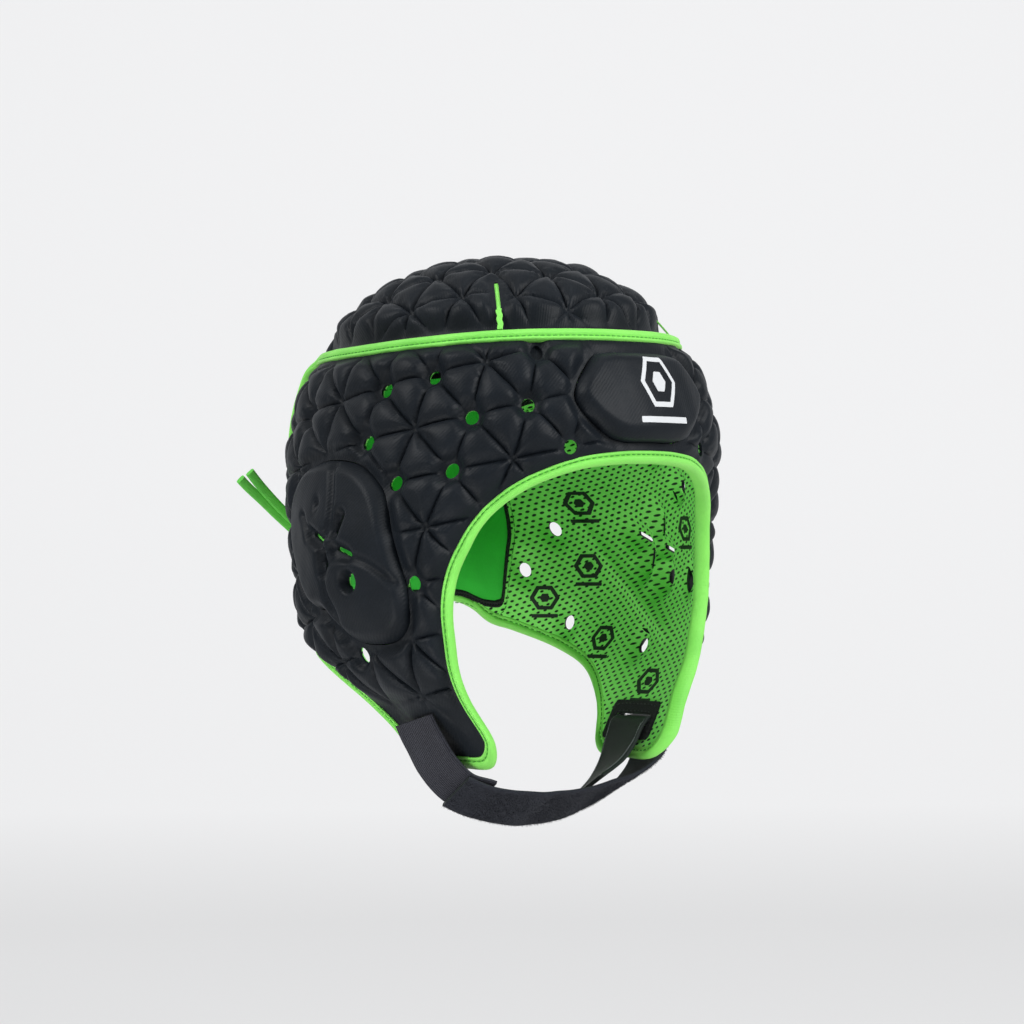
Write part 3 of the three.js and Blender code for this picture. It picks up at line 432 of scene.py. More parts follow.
@dataclass
class Outlines:
    """Outlines of the pieces on the pattern, by degrees round the head and depth share."""

    top: tuple = ((0, 0.160), (25, 0.160), (47, 0.163), (70, 0.171), (94, 0.179), (118, 0.181), (132, 0.183),
                  (137, 0.196))
    rear: tuple = ((139, 0.225), (142, 0.34), (148, 0.47), (157, 0.56), (162, 0.64), (160, 0.70))
    neck: tuple = ((155, 0.733), (146, 0.752), (126, 0.792), (111, 0.829), (99.5, 0.876), (91.5, 0.925),
                   (87.5, 0.972))
    tab: tuple = ((82, 0.996), (70, 1.0), (57, 0.994))
    face: tuple = ((51.5, 0.950), (54.2, 0.864), (53.6, 0.763), (53, 0.702), (51, 0.632), (47.2, 0.575),
                   (42.7, 0.518), (36, 0.476), (23, 0.436), (10, 0.423), (0, 0.421))
    forehead: tuple = ((0, 0.204), (13, 0.206), (17, 0.213), (24.5, 0.294), (16, 0.362), (11, 0.377),
                       (0, 0.379))
    ear: tuple = ((98, 0.409), (90.5, 0.409), (82.6, 0.422), (75.8, 0.459), (71, 0.514), (68, 0.570),
                  (66, 0.624), (65, 0.678), (66, 0.719), (70.2, 0.750), (78, 0.761), (86, 0.754),
                  (91, 0.729), (95, 0.700), (103, 0.690), (110, 0.630), (114, 0.560), (113, 0.480),
                  (106, 0.425))
    back_side: tuple = ((132, 0.262), (136, 0.31), (138.5, 0.42), (139.5, 0.49), (145, 0.60), (149, 0.685))
    back_bottom: tuple = ((153, 0.692), (158, 0.680), (162, 0.668), (171, 0.666), (180, 0.666))
    nape: tuple = ((165, 0.6897), (172, 0.6892), (180, 0.6888))
    tuck: float = 12.0

    def __post_init__(self) -> None:
        """Samples the runs and their distance functions."""
        self.tucked_run = self.run(self.top + self.rear, 90)
        self.open_run = self.run(self.neck + self.tab + self.face, 120)
        self.band_edge = Field.around(self.both(np.concatenate([self.tucked_run, self.open_run])))
        self.forehead_edge = Field.around(self.both(self.run(self.forehead, 40)))
        right_ear = Field.around(self.run(self.ear, 90, closed=True))
        self.ear_edge: Edge = lambda u, v: right_ear(np.abs(u), v)
        front = tuple((degrees, share + self.tuck / SHELL.depth) for degrees, share in self.top[:6])
        half = np.concatenate([self.run(front + self.back_side, 80), self.run(self.back_bottom, 16)])
        x, y = SHELL.to_crown(*self.both(half).T)
        self.crown_outline = np.stack([x, y], axis=1)
        self.crown_plane_edge = Field.around(self.crown_outline)
        self.crown_edge: Edge = lambda u, v: self.crown_plane_edge(*SHELL.to_crown(u, v))

    @staticmethod
    def run(rows: Sequence[Sequence[float]], count: int, closed: bool = False) -> Array:
        """Smooth run through outline rows, as pattern points."""
        points = [[SHELL.along(degrees), SHELL.height(share)] for degrees, share in rows]
        return Spline(np.array(points), closed).spaced(count)

    @staticmethod
    def both(half: Array) -> Array:
        """The half outline and its mirror image as one closed ring."""
        other = half[::-1].copy()
        other[:, 0] *= -1
        return np.concatenate([half, other[1:-1]])


LINES = Outlines()


@dataclass
class Lattice:
    """Quilting seams in three directions through star points."""

    origin: tuple[float, float]
    pitch: float = 28.2
    rise: float = 24.9
    slant: float = 10.5
    lean: float = 75.2

    def __post_init__(self) -> None:
        """Works out the two steps of the lattice."""
        a, b = math.radians(self.slant), math.radians(self.lean)
        self.first = np.array([-self.pitch * math.cos(a), self.pitch * math.sin(a)])
        self.second = np.array([-self.rise * math.cos(b), self.rise * math.sin(b)])

    def at(self, i: float, j: float) -> Array:
        """Pattern point of a lattice place."""
        return np.asarray(self.origin) + i * self.first + j * self.second

    def steps(self, u: Array, v: Array) -> tuple[Array, Array]:
        """Lattice place of pattern points."""
        det = self.first[0] * self.second[1] - self.first[1] * self.second[0]
        x, y = u - self.origin[0], v - self.origin[1]
        return (x * self.second[1] - y * self.second[0]) / det, (self.first[0] * y - self.first[1] * x) / det

    def cell(self, u: Array, v: Array) -> tuple[Array, Array, Array]:
        """Shares of the three corners of the cell under each point."""
        i, j = self.steps(u, v)
        p, q = i - np.floor(i), j - np.floor(j)
        over = p + q > 1
        p, q = np.where(over, 1 - p, p), np.where(over, 1 - q, q)
        return p, q, 1 - p - q

    def puff(self, u: Array, v: Array, fullness: float, saddle: float = 0.36, crease: float = 0.13) -> Array:
        """Height of the pillows, 0 at a star and 1 on top.

        Args:
            u: Places along the pattern.
            v: Places up the pattern.
            fullness: Lower is fuller, with narrower valleys.
            saddle: Height of a seam half way between two stars.
            crease: Depth of the short creases that run out of the stars.

        Returns:
            The height at each place.
        """
        shares = np.stack(self.cell(u, v))
        a, b, c = shares
        product = np.clip(27 * a * b * c, 0, 1)
        pillow = 0.74 * product**fullness + 0.26 * np.sin(np.clip(3 * shares.min(0), 0, 1) * math.pi / 2)
        span = np.clip(4 * (a * b + b * c + c * a), 0, 1)
        order = np.sort(shares, axis=0)
        most, turn = order[2], order[0] / np.maximum(order[0] + order[1], 1e-6)
        i, j = self.steps(u, v)
        rows = np.argsort(shares, axis=0)
        upper = (i % 1) + (j % 1) > 1
        mark = np.floor(i) * 12.99 + np.floor(j) * 78.23 + rows[2] * 11.1 + rows[1] * 5.3 + upper * 37.7
        chance = np.abs(np.sin(mark) * 437.585) % 1.0
        fold = np.exp(-(((turn - 0.14 - 0.18 * chance) / 0.055) ** 2))
        fold = fold * ease((most - 0.46) / 0.2) * ease((0.95 - most) / 0.12) * (chance > 0.25)
        return pillow + saddle * span**0.9 * (1 - pillow) - crease * fold

    def grid(self, parts: int, edge: Edge) -> tuple[Array, Array]:
        """Fine triangles in line with the seams, wherever the edge isn't far outside.

        Args:
            parts: Number of triangles along a seam between two crossings.
            edge: Signed distance to the piece's outline.

        Returns:
            Points and triangles.
        """
        span = np.arange(-13 * parts, 13 * parts + 1)
        i, j = np.meshgrid(span, span, indexing="ij")
        along, up = i[..., None] / parts * self.first, j[..., None] / parts * self.second
        points = np.asarray(self.origin) + along + up
        n = len(span)
        coarse = edge(points[::parts, ::parts, 0], points[::parts, ::parts, 1]) < 1.6 * self.pitch
        keep = np.repeat(np.repeat(coarse, parts, 0), parts, 1)[:n, :n]
        beside = np.roll(keep, parts, 0)
        keep = keep | beside | np.roll(keep, parts, 1) | np.roll(beside, parts, 1)
        a, b = np.nonzero(keep[:-1, :-1])
        tris = cell_triangles(a * n + b, n)
        used, tris = np.unique(tris, return_inverse=True)
        return points.reshape(-1, 2)[used], tris.reshape(-1, 3)


BAND_LATTICE = Lattice((SHELL.along(67.7), SHELL.height(0.352)))
CROWN_LATTICE = Lattice((0.0, 0.0), rise=28.2, lean=70.5)
BAND_VENTS = ((-1, 1), (0, 1), (1, 0), (1, -1), (0, -1), (-1, 0), (2, 0), (3, -1), (2, 1), (1, -3),
              (-1 / 3, -4), (-11 / 3, -1), (-13 / 3, -5 / 3), (-3, -3), (-3, 1))
EAR_VENTS = ((-1 / 3, -8 / 3),)
CROWN_VENTS = ((2, 0), (-2, 2), (0, 2), (0, -2), (-2, 0), (2, -2))
VENT_RADIUS = 3.4


def clip(points: Array, tris: Array, edge: Edge) -> tuple[Array, Array]:
    """Cuts a grid to the region where the edge distance is negative, with a clean outline.

    Args:
        points: Pattern points.
        tris: Triangles.
        edge: Signed distance to the outline.

    Returns:
        Points and triangles of the region.
    """
    points = points.copy()
    reach = np.full(len(points), np.inf)
    for p, q in ((0, 1), (1, 2), (2, 0)):
        length = np.linalg.norm(points[tris[:, p]] - points[tris[:, q]], axis=1)
        np.minimum.at(reach, tris[:, p], length)
        np.minimum.at(reach, tris[:, q], length)
    depth = edge(points[:, 0], points[:, 1])
    keep = (depth[tris] < 2 * reach[tris]).any(1)
    tris = tris[keep]
    near = np.abs(depth) < 0.36 * reach
    for _ in range(3):
        x, y = points[near].T
        d = edge(x, y)
        gx = (edge(x + 0.05, y) - edge(x - 0.05, y)) / 0.1
        gy = (edge(x, y + 0.05) - edge(x, y - 0.05)) / 0.1
        pull = d / np.maximum(0.2, gx * gx + gy * gy)
        points[near] -= np.stack([pull * gx, pull * gy], 1)
    depth[near] = 0
    values = depth[tris]
    flat = (values == 0).all(1)
    middle = points[tris].mean(1)
    hollow = flat & (edge(middle[:, 0], middle[:, 1]) > -0.06 * reach[tris[:, 0]])
    whole = (values <= 0).all(1) & ~hollow
    cut = tris[(values < 0).any(1) & (values > 0).any(1)]
    pairs = np.concatenate([cut[:, [0, 1]], cut[:, [1, 2]], cut[:, [2, 0]]])
    pairs = np.unique(np.sort(pairs[depth[pairs[:, 0]] * depth[pairs[:, 1]] < 0], axis=1), axis=0)
    extra = np.zeros((0, 2))
    if len(pairs):
        first_in = depth[pairs[:, 0]] < 0
        inner = np.where(first_in[:, None], points[pairs[:, 0]], points[pairs[:, 1]])
        outer = np.where(first_in[:, None], points[pairs[:, 1]], points[pairs[:, 0]])
        for _ in range(14):
            centre = (inner + outer) / 2
            inside = (edge(centre[:, 0], centre[:, 1]) < 0)[:, None]
            inner, outer = np.where(inside, centre, inner), np.where(inside, outer, centre)
        extra = inner
    number = {(int(p), int(q)): len(points) + n for n, (p, q) in enumerate(pairs)}
    pieces = []
    for corners in cut:
        ring = []
        for n in range(3):
            p, q = int(corners[n]), int(corners[(n + 1) % 3])
            if depth[p] <= 0:
                ring.append(p)
            if depth[p] * depth[q] < 0:
                ring.append(number[(min(p, q), max(p, q))])
        pieces += [[ring[0], ring[n], ring[n + 1]] for n in range(1, len(ring) - 1)]
    out = np.concatenate([tris[whole], np.array(pieces, int).reshape(-1, 3)])
    return np.concatenate([points, extra]), out


def mirror_join(points: Array, tris: Array) -> tuple[Array, Array]:
    """Joins a half pattern to its mirror image along u = 0.

    Args:
        points: Points of the half pattern.
        tris: Its triangles.

    Returns:
        Points and triangles of both halves.
    """
    points = points.copy()
    seam = np.abs(points[:, 0]) < 0.02
    points[seam, 0] = 0
    twin = np.where(seam, np.arange(len(points)), np.arange(len(points)) + len(points))
    other = points * [-1, 1]
    return np.concatenate([points, other]), np.concatenate([tris, twin[tris][:, [0, 2, 1]]])


def add_object(name: str, data: bpy.types.ID) -> bpy.types.Object:
    """Adds an object to the scene."""
    obj = bpy.data.objects.new(name, data)
    bpy.context.scene.collection.objects.link(obj)
    return obj


def make_object(name: str, verts: Array, faces: Sequence, material: bpy.types.Material,
                pattern: Array | None = None, sharp: float = 55.0) -> bpy.types.Object:
    """Makes a smooth mesh object.

    Args:
        name: Name of the piece.
        verts: Positions in metres.
        faces: Vertex rows of the faces.
        material: Its finish.
        pattern: Flat pattern place of each vertex in metres, stored as a UV map.
        sharp: Edges that turn by more than this many degrees stay sharp.

    Returns:
        The new object, linked to the scene.
    """
    mesh = bpy.data.meshes.new(name)
    rows = faces.tolist() if isinstance(faces, Array) else faces
    mesh.from_pydata(np.asarray(verts, float).tolist(), [], rows)
    mesh.materials.append(material)
    if pattern is not None:
        layer = mesh.uv_layers.new(name="pattern")
        loops = np.empty(len(mesh.loops), int)
        mesh.loops.foreach_get("vertex_index", loops)
        layer.data.foreach_set("uv", np.asarray(pattern, float)[loops].ravel())
    mesh.polygons.foreach_set("use_smooth", [True] * len(mesh.polygons))
    mesh.update()
    mesh.set_sharp_from_angle(angle=math.radians(sharp))
    return add_object(name, mesh)


def closed_layer(points: Array, tris: Array, outer: Array, inner: Array) -> tuple[Array, Array, Array]:
    """A closed wall between an outer and an inner face.

    Args:
        points: Pattern points.
        tris: Pattern triangles.
        outer: Outer position of each point.
        inner: Inner position of each point.

    Returns:
        Vertices, faces and the pattern place of each vertex in metres.
    """
    used, tris = np.unique(tris, return_inverse=True)
    tris = tris.reshape(-1, 3)
    points, outer, inner = points[used], outer[used], inner[used]
    count = len(used)
    edges = np.concatenate([tris[:, [0, 1]], tris[:, [1, 2]], tris[:, [2, 0]]])
    forward, back = edges[:, 0] * count + edges[:, 1], edges[:, 1] * count + edges[:, 0]
    rim = edges[~np.isin(forward, back)]
    p, q = rim[:, 0], rim[:, 1]
    faces = np.concatenate([
        tris, tris[:, ::-1] + count,
        np.stack([q, p, p + count], 1), np.stack([q, p + count, q + count], 1),
    ])
    verts = np.concatenate([outer, inner])
    a, b, c = verts[faces[:, 0]], verts[faces[:, 1]], verts[faces[:, 2]]
    if (a * np.cross(b, c)).sum() < 0:
        faces = faces[:, ::-1]
    return verts, faces, np.concatenate([points, points]) * MM
def lay(name: str, material: bpy.types.Material, points: Array, tris: Array, outer: Array,
        inner: Array) -> bpy.types.Object:
    """Makes one closed layer of cloth or foam.

    Args:
        name: Name of the piece.
        material: Its finish.
        points: Pattern points.
        tris: Pattern triangles.
        outer: Outer position of each point.
        inner: Inner position of each point.

    Returns:
        The new object.
    """
    verts, faces, pattern = closed_layer(points, tris, outer, inner)
    return make_object(name, verts, faces, material, pattern)

def sweep(rows: Array, across: Array, out: Array, section: Array, closed: bool = False) -> tuple[Array, list]:
    """A section carried along rows of places.

    Args:
        rows: Centre of each row, in metres.
        across: Direction across at each row.
        out: Outward direction at each row.
        section: Points (across, out) of the section, in metres.
        closed: Whether the last row meets the first.

    Returns:
        Vertices and faces.
    """
    verts = rows[:, None] + across[:, None] * section[None, :, :1] + out[:, None] * section[None, :, 1:]
    return verts.reshape(-1, 3), tube_faces(len(rows), len(section), closed)


def tube_faces(rows: int, sides: int, closed: bool) -> list:
    """Faces of a tube, with end caps where it is open.

    Args:
        rows: Number of rings.
        sides: Points of each ring.
        closed: Whether the last ring meets the first.

    Returns:
        Vertex rows of the faces.
    """
    faces = []
    for n in range(rows if closed else rows - 1):
        low, high = n * sides, (n + 1) % rows * sides
        for k in range(sides):
            turn = (k + 1) % sides
            faces.append([low + k, low + turn, high + turn, high + k])
    if not closed:
        faces += [list(range(sides))[::-1], list(range((rows - 1) * sides, rows * sides))]
    return faces


def outward(verts: Array, faces: list) -> list:
    """The same faces, turned so that they point out."""
    total = 0.0
    for face in faces:
        for n in range(1, len(face) - 1):
            total += float(np.dot(verts[face[0]], np.cross(verts[face[n]], verts[face[n + 1]])))
    return faces if total > 0 else [face[::-1] for face in faces]


def oval(width: float, height: float, sides: int, square: float = 0.6) -> Array:
    """A rounded section in metres; a lower `square` is boxier."""
    turn = (np.arange(sides) + 0.5) * 2 * math.pi / sides
    return squircle(turn, square) * [width / 2, height / 2]


class Shader:
    """Short calls that build a material's nodes."""

    def __init__(self, name: str) -> None:
        """Starts a material with a principled shader."""
        self.material = bpy.data.materials.new(name)
        self.material.use_nodes = True
        self.tree = self.material.node_tree
        self.shader = self.tree.nodes["Principled BSDF"]

    def node(self, kind: str, inputs: dict | None = None, **settings: object) -> bpy.types.Node:
        """Adds a node.

        Args:
            kind: Type of the node.
            inputs: What feeds its inputs, by name or number.
            settings: Its properties.

        Returns:
            The new node.
        """
        node = self.tree.nodes.new(kind)
        for key, value in settings.items():
            setattr(node, key, value)
        for key, value in (inputs or {}).items():
            self.feed(node.inputs[key], value)
        return node

    def feed(self, socket: bpy.types.NodeSocket, value: object) -> None:
        """Links a socket, or sets it where the value is plain."""
        if isinstance(value, bpy.types.NodeSocket):
            self.tree.links.new(value, socket)
        else:
            socket.default_value = value

    def math(self, operation: str, a: object, b: object = 0.0) -> bpy.types.NodeSocket:
        """One arithmetic node."""
        return self.node("ShaderNodeMath", {0: a, 1: b}, operation=operation).outputs[0]
    def weighted(self, a: object, share_a: float, b: object, share_b: float) -> bpy.types.NodeSocket:
        """Sum of two factors, each times its share."""
        return self.math("ADD", self.math("MULTIPLY", a, share_a), self.math("MULTIPLY", b, share_b))
    def place(self) -> bpy.types.NodeSocket:
        """Object coordinates."""
        return self.node("ShaderNodeTexCoord").outputs["Object"]

    def flat(self) -> bpy.types.NodeSocket:
        """The piece's own pattern map."""
        return self.node("ShaderNodeUVMap", uv_map="pattern").outputs[0]

    def noise(self, at: object, scale: float, detail: float = 3.0) -> bpy.types.NodeSocket:
        """Noise factor of a given scale."""
        return self.node("ShaderNodeTexNoise", {"Vector": at, "Scale": scale, "Detail": detail}).outputs[0]
    def wave(self, at: object, scale: float, distortion: float, detail: float = 1.0,
             **settings: object) -> bpy.types.NodeSocket:
        """Factor of a rib or twill of a given scale."""
        inputs = {"Vector": at, "Scale": scale, "Distortion": distortion, "Detail": detail}
        return self.node("ShaderNodeTexWave", inputs, **settings).outputs[1]
    def stretched(self, at: object, scale: Sequence[float]) -> bpy.types.NodeSocket:
        """Coordinates scaled by direction."""
        return self.node("ShaderNodeMapping", {"Vector": at, "Scale": tuple(scale)}).outputs[0]

    def blend(self, factor: object, a: Sequence[float], b: Sequence[float]) -> bpy.types.NodeSocket:
        """Colour between a and b."""
        node = self.node("ShaderNodeMix", data_type="RGBA")
        self.feed(node.inputs["Factor"], factor)
        for key, value in ((6, a), (7, b)):
            self.feed(node.inputs[key], value if isinstance(value, bpy.types.NodeSocket) else (*value, 1.0))
        return node.outputs[2]

    def bump(self, height: object, strength: float, distance: float,
             normal: object = None) -> bpy.types.NodeSocket:
        """Bump from a height in metres of `distance`."""
        node = self.node("ShaderNodeBump", {"Height": height, "Strength": strength, "Distance": distance})
        if normal is not None:
            self.feed(node.inputs["Normal"], normal)
        return node.outputs[0]

    def finish(self, **sockets: object) -> bpy.types.Material:
        """Sets the shader's sockets by name, with underscores for spaces."""
        for key, value in sockets.items():
            self.feed(self.shader.inputs[key.replace("_", " ")], value)
        return self.material


@dataclass(frozen=True)
class StretchCloth:
    """Close-knit black stretch cloth over foam."""

    name: str = "black_stretch_cloth"
    dark: tuple = (0.0020, 0.0032, 0.0044)
    light: tuple = (0.0100, 0.0135, 0.0185)
    roughness: float = 0.50

    def make(self) -> bpy.types.Material:
        """Builds the material."""
        s = Shader(self.name)
        at, flat = s.place(), s.flat()
        knit = s.noise(s.stretched(flat, (700, 1500, 1)), 1.0, 2.0)
        twill = s.wave(flat, 330.0, 1.2, bands_direction="DIAGONAL")
        cloud = s.noise(at, 55.0, 4.0)
        shade = s.weighted(cloud, 0.65, knit, 0.35)
        grain = s.weighted(knit, 0.6, twill, 0.4)
        creases = s.noise(s.stretched(at, (1.0, 1.0, 1.6)), 130.0, 3.0)
        normal = s.bump(creases, 0.35, 0.0006, s.bump(grain, 0.5, 0.00018))
        return s.finish(
            Base_Color=s.blend(shade, self.dark, self.light), Roughness=self.roughness,
            Sheen_Weight=0.03, Sheen_Roughness=0.35, Sheen_Tint=(0.75, 0.85, 1.0, 1.0), Normal=normal,
            Specular_IOR_Level=0.14,
        )


@dataclass(frozen=True)
class MeshKnit:
    """Green warp knit with rows of small dark slots."""

    name: str = "green_perforated_knit"
    low: tuple = (0.170, 0.780, 0.100)
    high: tuple = (0.380, 0.990, 0.230)
    pitch: float = 0.0052
    rise: float = 0.0023
    slot: tuple = (0.00130, 0.00052)
    tilt: float = -0.22

    def make(self) -> bpy.types.Material:
        """Builds the material."""
        s = Shader(self.name)
        flat = s.flat()
        turn = {"Vector": flat, "Angle": self.tilt}
        turned = s.node("ShaderNodeVectorRotate", turn, rotation_type="Z_AXIS").outputs[0]
        parts = s.node("ShaderNodeSeparateXYZ", {0: turned})
        jitter = s.math("MULTIPLY", s.math("SUBTRACT", s.noise(flat, 260.0, 1.0), 0.5), 0.3)
        along = s.math("DIVIDE", parts.outputs[0], self.pitch)
        row = s.math("DIVIDE", parts.outputs[1], self.rise)
        shifted = s.math("ADD", along, s.math("MULTIPLY", s.math("FLOOR", row), 0.5))
        x = s.math("ADD", s.math("SUBTRACT", s.math("FRACT", shifted), 0.5), jitter)
        y = s.math("SUBTRACT", s.math("FRACT", row), 0.5)
        x = s.math("POWER", s.math("ABSOLUTE", s.math("MULTIPLY", x, self.pitch / self.slot[0])), 2.0)
        y = s.math("POWER", s.math("ABSOLUTE", s.math("MULTIPLY", y, self.rise / self.slot[1])), 2.0)
        radius = s.math("ADD", x, y)
        ramp = {"Value": radius, "From Min": 0.75, "From Max": 1.35, "To Min": 1.0, "To Max": 0.0}
        hole = s.node("ShaderNodeMapRange", ramp, clamp=True).outputs[0]
        knit = s.noise(s.stretched(flat, (900, 1900, 1)), 1.0, 2.0)
        cloud = s.noise(s.place(), 40.0, 3.0)
        base = s.blend(s.weighted(knit, 0.5, cloud, 0.6), self.low, self.high)
        colour = s.blend(hole, base, (0.004, 0.018, 0.006))
        height = s.math("SUBTRACT", s.math("MULTIPLY", knit, 0.25), hole)
        return s.finish(
            Base_Color=colour, Roughness=0.72, Sheen_Weight=0.25, Sheen_Roughness=0.5,
            Sheen_Tint=(0.55, 1.0, 0.45, 1.0), Normal=s.bump(height, 0.8, 0.0005), Specular_IOR_Level=0.3)


@dataclass(frozen=True)
class PlainKnit:
    """Plain green jersey with a fine rib."""

    name: str = "green_plain_jersey"
    low: tuple = (0.021, 0.420, 0.034)
    high: tuple = (0.052, 0.690, 0.064)

    def make(self) -> bpy.types.Material:
        """Builds the material."""
        s = Shader(self.name)
        flat = s.flat()
        rib = s.wave(flat, 300.0, 0.8)
        knit = s.noise(s.stretched(flat, (1200, 600, 1)), 1.0, 2.0)
        cloud = s.noise(s.place(), 35.0, 3.0)
        shade = s.weighted(cloud, 0.6, knit, 0.4)
        return s.finish(Base_Color=s.blend(shade, self.low, self.high), Roughness=0.75, Sheen_Weight=0.2,
                        Normal=s.bump(s.math("ADD", rib, knit), 0.5, 0.00018), Specular_IOR_Level=0.3)


@dataclass(frozen=True)
class LimeTape:
    """Bright folded binding tape with a fine cross rib."""

    name: str = "lime_binding_tape"
    low: tuple = (0.130, 0.560, 0.058)
    high: tuple = (0.270, 0.800, 0.125)
    rib: float = 420.0
    roughness: float = 0.52

    def make(self) -> bpy.types.Material:
        """Builds the material."""
        s = Shader(self.name)
        flat = s.flat()
        rib = s.wave(flat, self.rib, 1.0)
        thread = s.noise(s.stretched(flat, (500, 2200, 1)), 1.0, 2.0)
        cloud = s.noise(s.place(), 60.0, 3.0)
        shade = s.weighted(cloud, 0.7, thread, 0.35)
        height = s.math("ADD", s.math("MULTIPLY", rib, 0.6), thread)
        return s.finish(
            Base_Color=s.blend(shade, self.low, self.high), Roughness=self.roughness, Sheen_Weight=0.25,
            Sheen_Tint=(0.7, 1.0, 0.4, 1.0), Normal=s.bump(height, 0.6, 0.00022), Specular_IOR_Level=0.4)


@dataclass(frozen=True)
class Thread:
    """Twisted sewing thread."""

    name: str = "green_thread"
    colour: tuple = (0.060, 0.36, 0.030)
    roughness: float = 0.6

    def make(self) -> bpy.types.Material:
        """Builds the material."""
        s = Shader(self.name)
        twist = s.noise(s.place(), 2600.0, 1.0)
        low = tuple(0.62 * c for c in self.colour)
        return s.finish(Base_Color=s.blend(twist, low, self.colour), Roughness=self.roughness,
                        Normal=s.bump(twist, 0.6, 0.0001))


@dataclass(frozen=True)
class StrapCloth:
    """Dark narrow cloth: ribbed elastic, loop pile or smooth hook tape."""

    name: str
    dark: tuple
    light: tuple
    roughness: float
    ribs: float = 0.0
    grain: float = 1600.0
    relief: float = 0.0003
    sheen: float = 0.04

    def make(self) -> bpy.types.Material:
        """Builds the material."""
        s = Shader(self.name)
        flat = s.flat()
        grain = s.noise(flat, self.grain, 3.0)
        cloud = s.noise(s.place(), 90.0, 3.0)
        height: object = grain
        if self.ribs:
            rib = s.wave(flat, self.ribs, 1.5, 2.0)
            height = s.weighted(rib, 1.0, grain, 0.6)
            grain = s.weighted(rib, 0.6, grain, 0.4)
        shade = s.weighted(grain, 0.7, cloud, 0.3)
        return s.finish(Base_Color=s.blend(shade, self.dark, self.light), Roughness=self.roughness,
                        Sheen_Weight=self.sheen, Sheen_Roughness=0.5, Normal=s.bump(height, 0.8, self.relief),
                        Specular_IOR_Level=0.12)


@dataclass(frozen=True)
class Print:
    """Thin screen print that lets the cloth's grain through."""

    name: str
    colour: tuple
    roughness: float = 0.55

    def make(self) -> bpy.types.Material:
        """Builds the material."""
        s = Shader(self.name)
        grain = s.noise(s.flat(), 1400.0, 2.0)
        worn = tuple(0.86 * c for c in self.colour)
        return s.finish(Base_Color=s.blend(grain, worn, self.colour), Roughness=self.roughness,
                        Normal=s.bump(grain, 0.4, 0.00012))


@dataclass(frozen=True)
class StudioPaper:
    """Pale seamless floor and backdrop, with painted shade that makes the floor darker than the wall."""

    name: str = "studio_paper"
    tone: float = 0.30
    # Share of the wall's tone that the floor gets, as painted shade.
    floor_painted_shade: float = 0.55
    glow: float = 0.59

    def make(self) -> bpy.types.Material:
        """Builds the material."""
        s = Shader(self.name)
        height = s.node("ShaderNodeSeparateXYZ", {0: s.place()}).outputs[2]
        # Painted shade: the paper's colour blends from the darker floor tone at the floor to the full tone on
        # the wall, over the first 70 mm of rise.
        rise = s.math("ADD", s.math("MULTIPLY", height, 14.0), 5.6)
        high = tuple(self.tone * c for c in (0.985, 0.988, 1.0))
        low = tuple(self.floor_painted_shade * c for c in high)
        return s.finish(Base_Color=s.blend(rise, low, high), Roughness=0.9, Specular_IOR_Level=0.05,
                        Emission_Color=(0.99, 0.992, 1.0, 1.0), Emission_Strength=self.glow)


@dataclass
class Finishes:
    """Every material of the guard, made once."""

    def __post_init__(self) -> None:
        """Builds them."""
        self.cloth = StretchCloth().make()
        self.mesh = MeshKnit().make()
        self.jersey = PlainKnit().make()
        self.tape = LimeTape().make()
        self.lace = LimeTape("green_lace", (0.060, 0.460, 0.036), (0.150, 0.700, 0.075), 700.0, 0.6).make()
        self.thread = Thread().make()
        self.black_thread = Thread("black_thread", (0.012, 0.013, 0.016)).make()
        self.grey_thread = Thread("grey_thread", (0.20, 0.21, 0.23)).make()
        self.elastic = StrapCloth("ribbed_elastic", (0.005, 0.005, 0.007), (0.050, 0.052, 0.066), 0.85,
                                  ribs=280.0, relief=0.0005).make()
        self.pile = StrapCloth("loop_pile", (0.008, 0.009, 0.012), (0.036, 0.039, 0.050), 0.95,
                               grain=1100.0, relief=0.0006).make()
        self.hook = StrapCloth("smooth_hook_tape", (0.008, 0.012, 0.011), (0.022, 0.028, 0.026), 0.5,
                               ribs=520.0, grain=900.0, relief=0.00015, sheen=0.01).make()
        self.patch = StrapCloth("stitched_patch", (0.006, 0.006, 0.007), (0.024, 0.025, 0.028), 0.8,
                                ribs=400.0).make()
        self.white_print = Print("white_print", (0.60, 0.62, 0.64)).make()
        self.black_print = Print("black_print", (0.008, 0.014, 0.010)).make()
        self.paper = StudioPaper().make()


def new_tree(name: str, source: str, result: str, inputs: Sequence[tuple[str, str]]) -> bpy.types.NodeTree:
    """Starts a geometry node tree.

    Args:
        name: Name of the tree.
        source: Name of the geometry that goes in.
        result: Name of the geometry that comes out.
        inputs: Name and kind of each other input.

    Returns:
        The tree with its sockets.
    """
    tree = bpy.data.node_groups.new(name, "GeometryNodeTree")
    for label, kind in ((source, "Geometry"), *inputs, ("Material", "Material")):
        tree.interface.new_socket(name=label, in_out="INPUT", socket_type=f"NodeSocket{kind}")
    tree.interface.new_socket(name=result, in_out="OUTPUT", socket_type="NodeSocketGeometry")
    return tree


def wire(tree: bpy.types.NodeTree, links: Sequence[tuple]) -> None:
    """Links outputs to inputs, each row as node, output, node, input."""
    for source, output, target, socket in links:
        tree.links.new(source.outputs[output], target.inputs[socket])


def preset(node: bpy.types.Node, **values: object) -> bpy.types.Node:
    """Sets a node's inputs by name, with underscores for spaces."""
    for key, value in values.items():
        node.inputs[key.replace("_", " ")].default_value = value
    return node


